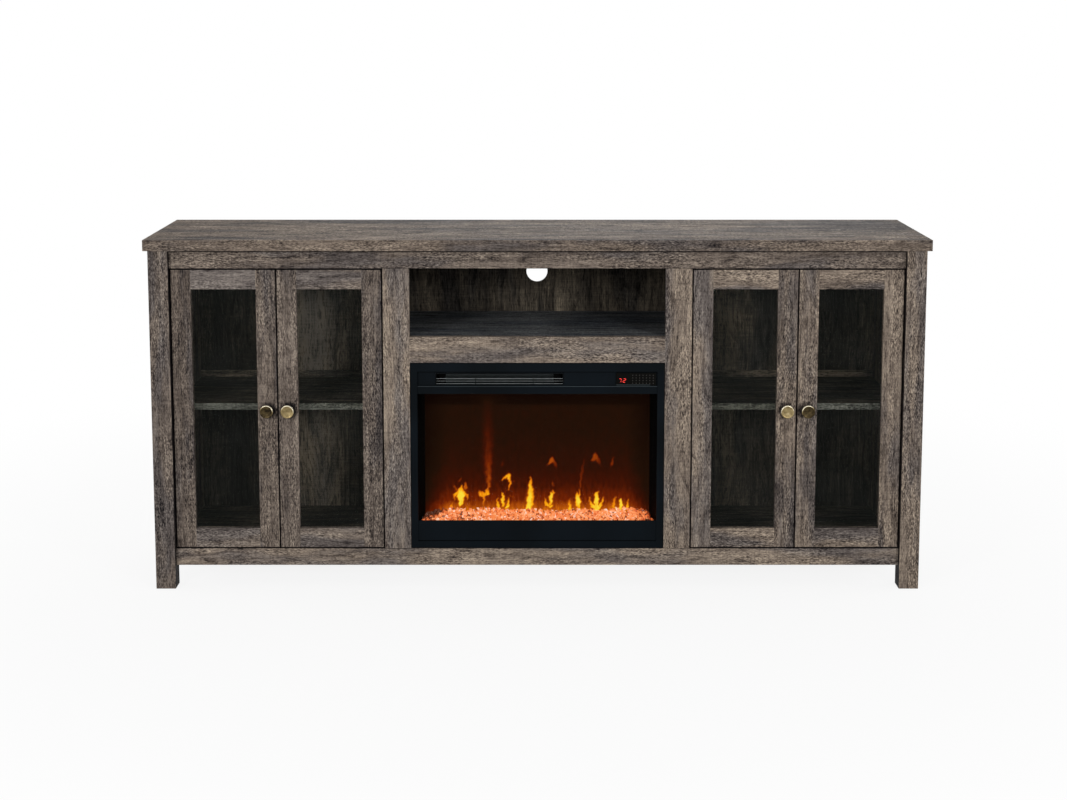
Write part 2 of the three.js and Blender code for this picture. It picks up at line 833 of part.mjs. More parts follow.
// The drum of the cross-flow fan: a disc at each end, a ring of blades and a shaft
function blowerWheel() {
  const half = wheelLength / 2;
  const bearing = ventWidth / 2;
  const shaft = barAlongX(
    wheelShaftDiameter,
    [-bearing - wheelShaftOverhang, bearing + wheelShaftSocket],
    0,
    0,
    rotorSides,
  );
  const discs = [-half, half - wheelDiscThickness].map((x) => barAlongX(
    2 * wheelRadius,
    [x, x + wheelDiscThickness],
    0,
    0,
    wheelSides,
  ));
  const blades = [];
  for (let i = 0; i < wheelBladeCount; i += 1) {
    const blade = slab(
      [wheelDiscThickness / 2 - half, half - wheelDiscThickness / 2],
      [-wheelBladeThickness / 2, wheelBladeThickness / 2],
      [wheelRadius - wheelBladeWidth, wheelRadius - wheelBladeThickness],
    );
    blades.push(blade.rotateX(i * 2 * Math.PI / wheelBladeCount));
  }
  return shaped([shaft, ...discs, ...blades]);
}

// The fan's motor on the deck, bored for the end of the shaft
function blowerMotor() {
  const start = bearingX[1] + housingWall / 2 + seatGap;
  const x = [start, start + motorLength];
  const can = barAlongX(motorDiameter, x, wheelY, wheelZ, motorSides);
  const foot = slab(
    x,
    [wheelY - motorFootWidth / 2, wheelY + motorFootWidth / 2],
    [deckTopZ + seatGap, wheelZ],
  );
  const bore = barAlongX(
    wheelShaftDiameter + 2 * seatGap,
    [start - overrun, bearingX[1] + wheelShaftSocket + seatGap],
    wheelY,
    wheelZ,
    rotorSides,
  );
  return shaped([can, foot], [bore]);
}

// The bush in the back of the box that the mains lead passes through
function cordGland() {
  const wallBack = boxBackY;
  const z = boxFloorZ + glandHeight;
  const barrel = barAlongY(
    glandDiameter,
    glandOffset,
    [wallBack - housingWall - glandInnerReach, wallBack + glandReach],
    z,
    glandSides,
  );
  const flange = barAlongY(
    glandFlangeDiameter,
    glandOffset,
    [wallBack + seatGap, wallBack + seatGap + glandFlangeThickness],
    z,
    glandSides,
  );
  const bore = barAlongY(
    glandBore,
    glandOffset,
    [wallBack - housingWall - glandInnerReach - overrun, wallBack + glandReach + overrun],
    z,
    glandSides,
  );
  return shaped([barrel, flange], [bore]);
}

function fireInsert() {
  const group = new THREE.Group();
  group.position.set(0, faceY + insertRecess, bottomTopZ);
  group.add(part('insert_frame', insertFrame(), blackSteel()));
  group.add(part('vent_grille', ventGrille(), finish(0x2a2d30, 0.4, 0.8)));
  group.add(part('control_panel', controlPanel(), finish(0x08090a, 0.15, 0)));
  group.add(part('insert_glass', insertGlass(), clearGlass(0.2)));
  group.add(part('insert_housing', insertHousing(), blackSteel()));
  group.add(part('flame_screen', flameScreen(), finish(0x7a2a08, 0.5, 0)));
  group.add(part('ember_bed', emberBed(), finish(0xe0967c, 0.2, 0)));
  group.add(part('led_board', ledBoard(), finish(0x2f5b3c, 0.5, 0)));
  group.add(part('heater_element', heaterElement(), zinc()));
  group.add(part('blower_motor', blowerMotor(), zinc()));
  group.add(part('cord_gland', cordGland(), finish(0x0c0c0c, 0.6, 0)));

  const rotor = part('flicker_rotor', flickerRotor(), zinc());
  rotor.position.set(0, rotorY, rotorZ);
  group.add(rotor);

  const wheel = part('blower_wheel', blowerWheel(), zinc());
  wheel.position.set(-ventOffset, wheelY, wheelZ);
  group.add(wheel);
  return group;
}

const stand = new THREE.Group();
stand.add(carcass());
stand.add(hingeArms());
for (const place of doorPlaces) stand.add(door(place));
stand.add(fireInsert());

export default stand;
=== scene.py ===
"""Looks of the fireplace TV stand: its timber, glass, brass, the steel fire insert and its light."""
import math
import random

import bmesh
import bpy
import numpy as np
from mathutils import Matrix, Vector

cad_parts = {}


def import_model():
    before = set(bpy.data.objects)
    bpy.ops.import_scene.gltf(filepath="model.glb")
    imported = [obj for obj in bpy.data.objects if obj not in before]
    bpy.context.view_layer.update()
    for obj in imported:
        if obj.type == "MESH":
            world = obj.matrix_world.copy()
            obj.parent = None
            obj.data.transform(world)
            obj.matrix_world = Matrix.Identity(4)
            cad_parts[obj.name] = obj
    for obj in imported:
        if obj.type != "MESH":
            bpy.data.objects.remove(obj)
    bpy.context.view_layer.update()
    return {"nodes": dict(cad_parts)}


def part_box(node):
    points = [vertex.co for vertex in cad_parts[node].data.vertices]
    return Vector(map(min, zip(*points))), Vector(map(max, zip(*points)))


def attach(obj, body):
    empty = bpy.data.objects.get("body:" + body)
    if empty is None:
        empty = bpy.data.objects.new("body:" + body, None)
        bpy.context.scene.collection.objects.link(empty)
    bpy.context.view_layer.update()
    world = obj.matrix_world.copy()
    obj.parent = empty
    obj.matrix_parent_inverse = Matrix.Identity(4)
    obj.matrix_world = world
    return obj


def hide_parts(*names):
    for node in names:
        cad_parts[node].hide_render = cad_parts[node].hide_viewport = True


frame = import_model()
draw = random.Random(29)

X, Y, Z = 0, 1, 2

# Lengths are in metres and angles in degrees, unless a comment says otherwise

# The camera stands where the photograph's vanishing point puts it
CAMERA_PLACE = (-0.0119, -4.243, 1.322)
CAMERA_PITCH = 7.51  # below level
CAMERA_LENS = 61.145  # mm
CAMERA_SENSOR = 36  # mm
CAMERA_SHIFT = (0.00127, -0.14)  # shares of the picture's width
CAMERA_REACH = 100

# Edges and seats
EDGE_EASE = 0.0006
SHEET_EASE = 0.0003
METAL_EASE = 0.0005
EASE_SEGMENTS = 2
EASED_ANGLE = 35  # edges that turn outward by more are rounded
FLAT_ANGLE = 1  # faces that turn by less become one
MERGE_DISTANCE = 1e-6
SEAT_GAP = 0.0003

# Timber
DOOR_MEMBER = 0.045
GLASS_LAP = 0.005
CUP_FLANGE = 0.002
BORE_CLEARANCE = 0.0004
BORE_SIDES = 40
STRIP_HEIGHT = 0.017
STRIP_THICKNESS = 0.003
STRIP_TONE = 0.22
BEAD_TONE = -0.12
TONE_SPREAD = 0.03
PATTERN_SPREAD = 9  # boards are cut this far apart at most in the pattern of the grain
SHADE_FADE = 0.0004
ROUNDING = 0.00001
# Painted shade: how much darker the sides are that face a narrow gap, an inner corner or an overhang, and
# how far in it goes
GAP_SHADE = (0.42, 0.0006)
CORNER_SHADE = (0.5, 0.00002)
OVERHANG_SHADOW = (0.5, 0.0052)

# How much darker or lighter each board is than the middle of the pattern
TONES = {
    "top_panel": -0.1, "apron_rail": -0.07, "bottom_rail": 0.04, "mantel_rail": 0.05,
    "leg_front_left": -0.07, "leg_front_right": -0.03, "stile_left": 0.06, "stile_right": -0.02,
    "cubby_shelf": 0.08,
}
# The same for each door: its left stile, right stile, bottom rail and top rail
DOOR_TONES = {
    "left_outer": (-0.14, -0.1, 0.02, 0.15),
    "left_inner": (-0.08, -0.14, 0.0, 0.03),
    "right_inner": (0.07, -0.05, -0.02, 0.02),
    "right_outer": (-0.03, -0.02, -0.01, -0.04),
}
# Pieces whose print has more of the cool tint than the others
COOLNESS = {
    "leg_front_left_board": 0.35, "apron_rail_board": 0.3, "door_left_outer_timber": 0.25,
    "door_left_inner_timber": 0.35,
}
# Painted reflection: how much darker or lighter each knob's brass is, as each mirrors the room
# differently
KNOB_REFLECTION_TONES = {"left_outer": -0.3, "left_inner": 0.05, "right_inner": 0.1, "right_outer": -0.28}
SIDES = ("left", "right")
LEVELS = ("lower", "upper")


def linear(code):
    """A colour written as six hex digits, in linear light with full alpha."""
    shares = [int(code[i:i + 2], 16) / 255 for i in (0, 2, 4)]
    return tuple(s / 12.92 if s <= 0.04045 else ((s + 0.055) / 1.055) ** 2.4 for s in shares) + (1,)


BLACK = linear("000000")
WHITE = linear("ffffff")
SMEAR = linear("10130f")
COOL_TINT = linear("dbe2f0")
DULL_TINT = linear("f0f0ea")


class Value:
    """A node's output on which sums can be written: each operator adds one Math node."""

    def __init__(self, finish, socket):
        self.finish = finish
        self.socket = socket

    def sum(self, operation, first, second):
        return self.finish.node("Math", {"operation": operation}, {0: first, 1: second})

    def __add__(self, other):
        return self.sum("ADD", self, other)

    def __sub__(self, other):
        return self.sum("SUBTRACT", self, other)

    def __rsub__(self, other):
        return self.sum("SUBTRACT", other, self)

    def __mul__(self, other):
        return self.sum("MULTIPLY", self, other)

    __radd__ = __add__

    def least(self, other):
        return self.sum("MINIMUM", self, other)

    def most(self, other):
        return self.sum("MAXIMUM", self, other)

    def fraction(self):
        return self.sum("FRACT", self, 0)

    def rise(self, low, high):
        """0 below low and 1 above high, with a smooth rise between them."""
        return self.finish.node(
            "MapRange",
            {"interpolation_type": "SMOOTHSTEP"},
            {"Value": self, "From Min": low, "From Max": high},
        )


class Finish:
    """A material or the world, built node by node."""

    def __init__(self, name, store=bpy.data.materials):
        self.made = store.new(name)
        self.made.use_nodes = True
        self.nodes = self.made.node_tree.nodes
        self.links = self.made.node_tree.links
        self.nodes.clear()

    def node(self, kind, settings=None, values=None, output=0):
        """Adds a shader node, sets it, then gives its sockets their values or links."""
        node = self.nodes.new("ShaderNode" + kind)
        for name, setting in (settings or {}).items():
            if name == "stops":
                self.set_stops(node.color_ramp, setting)
            else:
                setattr(node, name, setting)
        for name, value in (values or {}).items():
            if isinstance(value, Value):
                self.links.new(value.socket, node.inputs[name])
            else:
                node.inputs[name].default_value = value
        return Value(self, node.outputs[output])

    @staticmethod
    def set_stops(ramp, stops):
        first, last = ramp.elements
        first.position, last.position = stops[0][0], stops[-1][0]
        first.color, last.color = linear(stops[0][1]), linear(stops[-1][1])
        for place, code in stops[1:-1]:
            ramp.elements.new(place).color = linear(code)

    def attribute(self, name, output="Vector"):
        return self.node("Attribute", {"attribute_name": name}, output=output)

    def place(self):
        return self.node("TexCoord", output="Object")

    def vector(self, operation, *values):
        return self.node("VectorMath", {"operation": operation}, dict(enumerate(values)))

    def noise(self, place, scale, detail=2, roughness=0.5):
        """Noise between 0 and 1 whose grain is as many per metre as scale says, axis by axis."""
        return self.node("TexNoise", None, {
            "Vector": self.vector("MULTIPLY", place, scale),
            "Scale": 1,
            "Detail": detail,
            "Roughness": roughness,
        })

    def speckle(self, scale, detail=2, roughness=0.5):
        """Noise that lies fixed in the piece; a single number is its scale along every axis."""
        scales = scale if isinstance(scale, tuple) else (scale, scale, scale)
        return self.noise(self.place(), scales, detail, roughness)

    def parts(self, vector):
        return [self.node("SeparateXYZ", None, {0: vector}, axis) for axis in (X, Y, Z)]

    def ramp(self, factor, stops):
        return self.node("ValToRGB", {"stops": stops}, {"Fac": factor})

    def mix(self, factor, first, second, how="MIX"):
        settings = {"data_type": "RGBA", "blend_type": how}
        return self.node("Mix", settings, {0: factor, 6: first, 7: second}, output=2)

    def bump(self, height, strength, distance):
        values = {"Height": height, "Strength": strength, "Distance": distance}
        return self.node("Bump", None, values)

    def surface(self, **values):
        """The closing shader; a socket's name is written with _ for its spaces."""
        sockets = {name.replace("_", " "): value for name, value in values.items()}
        return self.out(self.node("BsdfPrincipled", None, sockets))

    def seen(self):
        """1 for what the camera sees, straight, mirrored or through glass, and 0 for what lights."""
        rays = [self.node("LightPath", output=f"Is {kind} Ray")
                for kind in ("Camera", "Glossy", "Transmission")]
        return (rays[0] + rays[1] + rays[2]).least(1)

    def out(self, shader, kind="Material"):
        closing = self.nodes.new("ShaderNodeOutput" + kind)
        self.links.new(shader.socket, closing.inputs["Surface"])
        return self.made


# Finishes


# Each stop of a ramp: its place and its colour
OUTER_STOPS = [
    (0.0, "100e0e"), (0.1, "2a2524"), (0.33, "51473f"), (0.52, "72665c"), (0.72, "938576"),
    (0.95, "b5a592"),
]
# The inside's print and the cubby's are darker than the outside's: partly a darker print, partly painted
# shade
SHADED_INNER_STOPS = [(0.0, "12110f"), (0.32, "302c27"), (0.52, "48423a"), (0.7, "60584c"), (0.97, "9a8c78")]
EDGING_STOPS = [(0.08, "2b2b27"), (0.33, "4e4f49"), (0.52, "6d6e65"), (0.72, "87887d"), (0.95, "9e9e93")]
SHADED_CUBBY_STOPS = [(0.08, "1c1d1e"), (0.33, "323435"), (0.52, "4d4f51"), (0.72, "666869"), (0.95, "828485")]
HARDBOARD_STOPS = [(0.2, "4c3d31"), (0.5, "6b5848"), (0.85, "85725f")]
BRASS_STOPS = [(0.0, "14110c"), (0.1, "2a2318"), (0.4, "635539"), (0.62, "978660"), (0.95, "e2dac2")]
FLAME_STOPS = [
    (0.0, "070201"), (0.08, "1e0e05"), (0.17, "3b1003"), (0.3, "732304"), (0.45, "b04e0a"),
    (0.62, "ee820a"), (0.8, "ffb614"), (1.0, "ffde3c"),
]
CRYSTAL_STOPS = [
    (0.0, "1a0805"), (0.07, "74260f"), (0.2, "d45e2a"), (0.5, "fb904e"), (0.78, "ffb078"),
    (0.95, "ffe2d2"),
]


GRAIN_WAVE = 0.034  # how far the grain sways at most, and how far it ripples on top of that
GRAIN_RIPPLE = 0.0035
EDGE_WORN = (0.0015, 0.005)  # how far in the wear of an edge starts to fade, and where it ends
EDGE_RAGGED = 0.005
EDGE_TONE = 0.06  # how much lighter a worn edge is
MIDDLE_TONE = 0.545  # where a board of tone 0 lies on its ramp, before its pattern
RINGS = 16
RELIEF = 0.0004
FINE_RELIEF = 0.0002


def edge_distance(finish):
    """How far a point of a board lies from the nearest of the board's edges."""
    inside = finish.vector("ABSOLUTE", finish.attribute("local"))
    first, second, third = finish.parts(finish.vector("SUBTRACT", finish.attribute("half"), inside))
    return first.least(second).most(first.most(second).least(third))


def timber(name, stops, tint, contrast=1.0, ticks=1.35, shine=0.07):
    """Grey-brown oak print: bands, cool clouds, growth rings, streaks, short dark ticks, knots."""
    finish = Finish(name)
    start = finish.attribute("grain")
    wave = (finish.noise(start, (3, 9, 9)) - 0.5) * GRAIN_WAVE
    ripple = (finish.noise(start, (30, 70, 70), 1) - 0.5) * GRAIN_RIPPLE
    bend = finish.node("CombineXYZ", None, {Y: wave + ripple, Z: wave + ripple})
    place = finish.vector("ADD", start, bend)
    band = finish.noise(place, (1, 12, 12)) - 0.5
    cloud = finish.noise(place, (3.2, 17, 17), 3, 0.55) - 0.5
    streak = finish.noise(place, (9, 85, 85), 3, 0.6) - 0.5
    fibre = finish.noise(place, (14, 280, 280), 1) - 0.5
    rough = finish.noise(place, (5, 34, 34), 1).rise(0.36, 0.64)
    tick = (finish.noise(place, (150, 600, 600), 2, 0.6) - 0.5) * (0.55 + rough * 0.9)
    pores = finish.noise(place, (60, 380, 380), 1).rise(0.56, 0.66)
    knots = finish.noise(place, (13, 36, 36), 1).rise(0.69, 0.8)
    rings = (finish.noise(place, (1.6, 10, 10), 1) * RINGS).fraction()
    line = (1 - rings.rise(0.03, 0.4)) * finish.noise(place, (24, 60, 60), 1).rise(0.4, 0.62)
    saw = finish.noise(place, (300, 26, 26), 1) - 0.5
    ragged = finish.noise(start, (60, 60, 60), 1) * EDGE_RAGGED
    worn = 1 - (edge_distance(finish) + ragged).rise(*EDGE_WORN)
    pattern = band * 0.34 + cloud * 0.4 + streak * 0.55 + fibre * 0.4 + tick * ticks + saw * 0.2
    dark = pores * 0.17 + knots * (tick + 0.6) * 0.34 + line * 0.15
    middle = finish.attribute("tone", "Fac") + MIDDLE_TONE
    tone = middle + (pattern - dark) * contrast + worn * EDGE_TONE
    colour = finish.ramp(tone, stops)
    cool = (0 - cloud - band * 0.5).rise(-0.04, 0.16) + finish.attribute("coolness", "Fac")
    relief = finish.bump(streak + tick - pores - line, 0.3, RELIEF)
    return finish.surface(
        Base_Color=finish.mix(cool, colour, finish.mix(1.0, colour, tint, "MULTIPLY")),
        Roughness=0.68 - streak * 0.3 + pores * 0.1,
        Specular_IOR_Level=shine,
        Normal=relief,
    )


def hardboard():
    """The brown pressed back of the back panel."""
    finish = Finish("hardboard_back")
    mottle = finish.speckle(30, 4, 0.7)
    fleck = finish.speckle(420, 2, 0.7)
    return finish.surface(
        Base_Color=finish.ramp(mottle * 0.4 + fleck * 0.6, HARDBOARD_STOPS),
        Roughness=0.75 + fleck * 0.15,
        Specular_IOR_Level=0.2,
        Normal=finish.bump(fleck, 0.3, RELIEF),
    )


def pane(name, code, alpha, shine, reflection_glow="000000"):
    """Flat glass: a see-through skin with smears, and a faint glow that paints in the reflection of the
    bright room.
    """
    finish = Finish(name)
    smear = finish.speckle((5, 5, 11), 3, 0.6)
    return finish.surface(
        Base_Color=finish.mix(smear, linear(code), SMEAR),
        Roughness=0.02 + smear * 0.05,
        Specular_IOR_Level=shine,
        Alpha=alpha,
        Emission_Color=finish.mix(smear, linear(reflection_glow), BLACK),
        Emission_Strength=1.0,
    )


def antique_brass():
    """Darkened brass: brushed, uneven, worn brighter along its edges, with a painted highlight on the
    tops of the rims and painted shade on the knobs' necks.
    """
    finish = Finish("antique_brass")
    cloud = finish.speckle(120, 3, 0.6)
    brushed = finish.speckle((260, 260, 2400))
    wear_and_light = finish.attribute("tone", "Fac") + finish.attribute("rubbed", "Fac") * 0.5
    return finish.surface(
        Base_Color=finish.ramp(cloud * 0.6 + brushed * 0.3 + wear_and_light, BRASS_STOPS),
        Metallic=1.0,
        Roughness=0.3 + brushed * 0.16,
        Normal=finish.bump(brushed + cloud, 0.12, FINE_RELIEF),
    )


def metal(name, dark, light, roughness, scale=60):
    """Plain rolled or plated metal with a slight cloud in its brightness."""
    finish = Finish(name)
    cloud = finish.speckle(scale, 3, 0.6)
    return finish.surface(
        Base_Color=finish.mix(cloud, linear(dark), linear(light)),
        Metallic=1.0,
        Roughness=roughness + cloud * 0.15,
        Normal=finish.bump(cloud, 0.1, FINE_RELIEF),
    )


def powder_coat(name, dark, light, shine):
    """Fine-grained black powder coat."""
    finish = Finish(name)
    grit = finish.speckle(1400, 1)
    cloud = finish.speckle(7, 3)
    return finish.surface(
        Base_Color=finish.mix(cloud.rise(0.3, 0.7), linear(dark), linear(light)),
        Roughness=0.42 + grit * 0.2,
        Specular_IOR_Level=shine,
        Normal=finish.bump(grit, 0.25, FINE_RELIEF),
    )


def glossy_black():
    finish = Finish("control_gloss")
    cloud = finish.speckle(40)
    return finish.surface(
        Base_Color=finish.mix(cloud, linear("040403"), linear("0b0a08")),
        Roughness=0.12 + cloud * 0.1,
        Specular_IOR_Level=0.04,
    )


def glowing(name, code, strength):
    """Small lit marks: one colour that is a little uneven."""
    finish = Finish(name)
    uneven = finish.speckle(600, 1)
    dimmer = finish.mix(0.25, linear(code), BLACK)
    return finish.surface(
        Base_Color=linear("050302"),
        Emission_Color=finish.mix(uneven, linear(code), dimmer),
        Emission_Strength=strength,
        Roughness=0.4,
    )


def flame_light():
    """The moving light on the screen: how hot each point is was worked out on its mesh."""
    finish = Finish("flame_light")
    heat = finish.attribute("warmth", "Fac")
    flow = finish.speckle((150, 1, 45), 3, 0.6) - 0.5
    shown = heat * (1 + flow * 0.9)
    return finish.surface(
        Base_Color=linear("060302"),
        Roughness=0.6,
        Specular_IOR_Level=0.0,
        Emission_Color=finish.ramp(shown, FLAME_STOPS),
        Emission_Strength=1.0,
    )


def crystal():
    """Clear chips with painted light from below: each facet glows with its own share of the orange light.
    """
    finish = Finish("ember_crystal")
    facet = finish.attribute("facet", "Fac")
    grain = finish.speckle(260, 1)
    return finish.surface(
        Base_Color=linear("80492f"),
        Roughness=0.12,
        Specular_IOR_Level=0.25,
        Emission_Color=finish.ramp(facet + grain * 0.3 - 0.15, CRYSTAL_STOPS),
        Emission_Strength=0.9,
    )


def circuit():
    finish = Finish("lamp_board_green")
    track = finish.speckle((90, 700, 90), 1).rise(0.5, 0.56)
    colour = finish.mix(track, linear("1f4a2c"), linear("3d7a48"))
    return finish.surface(Base_Color=colour, Roughness=0.35 + track * 0.2)


MATERIALS = {
    "wood": timber("driftwood_oak", OUTER_STOPS, COOL_TINT),
    "calm_wood": timber("driftwood_oak_edge", OUTER_STOPS, COOL_TINT, 0.68, 1.7),
    "bold_wood": timber("driftwood_oak_top", OUTER_STOPS, COOL_TINT, 1.35),
    # Darker copies of the print for the inside and the cubby, partly painted shade
    "inner_wood": timber("shaded_inner_oak", SHADED_INNER_STOPS, COOL_TINT, 1.2, 0.35, 0.0),
    "shaded_cubby_wood": timber("shaded_cubby_oak", SHADED_CUBBY_STOPS, COOL_TINT, 1.2, 0.9),
    "edging": timber("shelf_edging", EDGING_STOPS, DULL_TINT, 1.5, 1.2),
    "hardboard": hardboard(),
    # The door panes' faint glow is a painted reflection of the room
    "door_glass": pane("door_pane", "0b0f0d", 0.15, 0.0, "353634"),
    "fire_glass": pane("fire_pane", "0a0c0d", 0.03, 0.12),
    "brass": antique_brass(),
    "hinge_steel": metal("hinge_nickel", "8e8f90", "bdbebe", 0.3),
    "black_steel": powder_coat("black_powder_coat", "060a0d", "0a1015", 0.04),
    "box_steel": powder_coat("box_black", "030303", "060606", 0.01),
    "grille": powder_coat("grille_black", "06080a", "0c0f11", 0.06),
    "lip": powder_coat("lip_grey", "1f2629", "2b3438", 0.2),
    "wire": metal("vent_wire", "43494a", "a6aaaa", 0.35, 190),
    "fin": metal("heater_fin", "282c2d", "565c5d", 0.45, (420, 60, 60)),
    "control": glossy_black(),
    "digits": glowing("red_digits", "ff2a1c", 1.3),
    "marks": glowing("touch_marks", "28231b", 0.6),
    "screen": powder_coat("screen_black", "050302", "090604", 0.05),
    "flame": flame_light(),
    "crystal": crystal(),
    "circuit": circuit(),
    "bright_metal": metal("bright_aluminium", "8d9193", "c0c3c4", 0.3),
    "motor_metal": metal("motor_steel", "5c6063", "8a8e90", 0.4),
    "gland_plastic": powder_coat("gland_black", "0c0c0c", "141414", 0.3),
}


# Pieces


def put(name, data):
    """A new object in the scene."""
    thing = bpy.data.objects.new(name, data)
    bpy.context.scene.collection.objects.link(thing)
    return thing


def mesh_of(name, bm, smooth=False):
    """Turns a bmesh into a mesh and lets it go."""
    for face in bm.faces:
        face.smooth = smooth
    mesh = bpy.data.meshes.new(name)
    bm.to_mesh(mesh)
    bm.free()
    return mesh


def add_piece(name, bm, body, slot, stands_for=(), materials=(), smooth=False):
    """Puts a finished shape in the scene as a piece that moves with a body."""
    piece = put(name, mesh_of(name, bm, smooth))
    for key in materials or (slot,):
        piece.data.materials.append(MATERIALS[key])
    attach(piece, body)
    if stands_for:
        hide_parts(*stands_for)
    return piece


def write(mesh, key, values, kind="FLOAT", domain="POINT"):
    """Gives a mesh an attribute, or new values for one that it has."""
    attribute = mesh.attributes.get(key) or mesh.attributes.new(key, kind, domain)
    field = "value" if kind == "FLOAT" else "vector"
    attribute.data.foreach_set(field, np.asarray(values, np.float32).ravel())


def points_of(verts):
    return np.array([vert.co for vert in verts])


def verts_in(geometry):
    return [part for part in geometry if isinstance(part, bmesh.types.BMVert)]


def on_axis(axis, length=1):
    """A vector that lies along one axis."""
    vector = Vector((0, 0, 0))
    vector[axis] = length
    return vector


def bevel(bm, edges, offset, segments=EASE_SEGMENTS):
    bmesh.ops.bevel(
        bm, geom=edges, offset=offset, offset_type="OFFSET", segments=segments, profile=0.5,
        affect="EDGES", material=-1, clamp_overlap=True,
    )


def ease_edges(bm, amount):
    """Rounds the outward edges of everything in bm."""
    bmesh.ops.recalc_face_normals(bm, faces=bm.faces)
    limit = math.radians(EASED_ANGLE)
    sharp = [edge for edge in bm.edges if edge.is_manifold and edge.calc_face_angle_signed() > limit]
    bevel(bm, sharp, amount)


def stick(outline, axis, ends, ease=EDGE_EASE):
    """A length of material: an outline in the other two axes, drawn out along one, edges eased."""
    first, second = [other for other in (X, Y, Z) if other != axis]
    bm = bmesh.new()
    ring = []
    for point in outline:
        corner = on_axis(axis, ends[0])
        corner[first], corner[second] = point
        ring.append(bm.verts.new(corner))
    region = bmesh.ops.extrude_face_region(bm, geom=[bm.faces.new(ring)])["geom"]
    bmesh.ops.translate(bm, vec=on_axis(axis, ends[1] - ends[0]), verts=verts_in(region))
    if ease:
        ease_edges(bm, ease)
    return bm


def board(low, high, ease=EDGE_EASE):
    outline = [(low[X], low[Y]), (high[X], low[Y]), (high[X], high[Y]), (low[X], high[Y])]
    return stick(outline, Z, (low[Z], high[Z]), ease)


def joined(parts):
    """Several shapes as one."""
    whole = bmesh.new()
    for part in parts:
        mesh = mesh_of("part", part)
        whole.from_mesh(mesh)
        bpy.data.meshes.remove(mesh)
    return whole


def barrel(bm, start, end, radius, sides, end_radius=None):
    """Adds a round bar, or a cone with end_radius, between two points."""
    start, end = Vector(start), Vector(end)
    turn = (end - start).to_track_quat("Z", "Y").to_matrix().to_4x4()
    bmesh.ops.create_cone(
        bm, cap_ends=True, segments=sides, radius1=radius,
        radius2=radius if end_radius is None else end_radius,
        depth=(end - start).length, matrix=Matrix.Translation((start + end) / 2) @ turn,
    )


def turned(profile, centre, sides):
    """A solid turned about Y: the profile gives each radius and how far forward it lies."""
    bm = bmesh.new()
    ring = [bm.verts.new((radius, depth, 0)) for radius, depth in profile]
    edges = [bm.edges.new(pair) for pair in zip(ring, ring[1:])]
    bmesh.ops.spin(
        bm, geom=ring + edges, cent=(0, 0, 0), axis=(0, 1, 0), angle=math.tau, steps=sides,
        use_merge=True,
    )
    bmesh.ops.remove_doubles(bm, verts=bm.verts, dist=MERGE_DISTANCE)
    bmesh.ops.recalc_face_normals(bm, faces=bm.faces)
    bmesh.ops.translate(bm, vec=centre, verts=bm.verts)
    return bm


def node_copy(node):
    """A merged copy of a CAD node's mesh, with its flat faces whole."""
    bm = bmesh.new()
    bm.from_mesh(frame["nodes"][node].data)
    bmesh.ops.remove_doubles(bm, verts=bm.verts, dist=MERGE_DISTANCE)
    flat = math.radians(FLAT_ANGLE)
    bmesh.ops.dissolve_limit(bm, angle_limit=flat, verts=bm.verts, edges=bm.edges)
    return bm


def bored(bm, cutter):
    """What is left of bm when the cutter is taken out of it."""
    solid, tool = put("uncut", mesh_of("uncut", bm)), put("cutter", mesh_of("cutter", cutter))
    cut = solid.modifiers.new("bore", "BOOLEAN")
    cut.operation = "DIFFERENCE"
    cut.solver = "EXACT"
    cut.object = tool
    left = bmesh.new()
    left.from_object(solid, bpy.context.evaluated_depsgraph_get())
    for thing in (solid, tool):
        bpy.data.objects.remove(thing)
    return left


def slice_at(bm, axis, place):
    """Cuts every face of bm that crosses a plane."""
    geometry = bm.verts[:] + bm.edges[:] + bm.faces[:]
    plane = {"plane_co": on_axis(axis, place), "plane_no": on_axis(axis)}
    bmesh.ops.bisect_plane(bm, geom=geometry, **plane)


def cut_off(bm, axis, way, reach):
    """Lays the cuts in a board between which the painted shade of one side fades out."""
    if reach < EDGE_EASE:
        return
    side = max(way * vert.co[axis] for vert in bm.verts)
    for inset in (reach, reach + SHADE_FADE):
        slice_at(bm, axis, way * (side - inset))


def timber_piece(name, boards, body, slot, stands_for=(), materials=()):
    """Joins boards in one piece, and writes on it where each point lies in its own board.

    Each board is its bmesh, the axis along its grain, its tone, and any sides darkened with painted
    shade: the axis that each faces, its direction, how much darker it is and how far in.
    """
    marks = {"grain": [], "local": [], "half": [], "tone": []}
    for bm, along, tone, *shaded_sides in boards:
        for axis, way, _, reach in shaded_sides:
            cut_off(bm, axis, way, reach)
        points = points_of(bm.verts)
        low, high = points.min(0), points.max(0)
        local = points - (low + high) / 2
        order = [along] + [axis for axis in (X, Y, Z) if axis != along]
        shift = [draw.uniform(0, PATTERN_SPREAD) for _ in order]
        tones = np.full(len(points), tone)
        for axis, way, painted_shade, reach in shaded_sides:
            inward = (high - low)[axis] / 2 - way * local[:, axis]
            tones[inward < reach + ROUNDING] = tone - painted_shade
        marks["grain"].append(local[:, order] + shift)
        marks["local"].append(local)
        marks["half"].append(np.tile((high - low) / 2, (len(points), 1)))
        marks["tone"].append(tones)
    whole = joined(bm for bm, *_ in boards)
    piece = add_piece(name, whole, body, slot, stands_for, materials)
    for key, rows in marks.items():
        write(piece.data, key, np.concatenate(rows), "FLOAT" if key == "tone" else "FLOAT_VECTOR")
    write(piece.data, "coolness", np.full(len(piece.data.vertices), COOLNESS.get(name, 0)))
    return piece


def carcass_board(node, along, slot, materials=(), shaded_sides=()):
    """A board of the cabinet, in the box of its CAD node; a second material is for its front edge."""
    low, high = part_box(node)
    tone = TONES.get(node, draw.uniform(-TONE_SPREAD, TONE_SPREAD))
    boards = [(board(low, high), along, tone, *shaded_sides)]
    piece = timber_piece(f"{node}_board", boards, "cabinet", slot, [node], materials)
    if len(materials) > 1:
        for face in piece.data.polygons:
            face.material_index = int(face.center.y < low.y + EDGE_EASE)
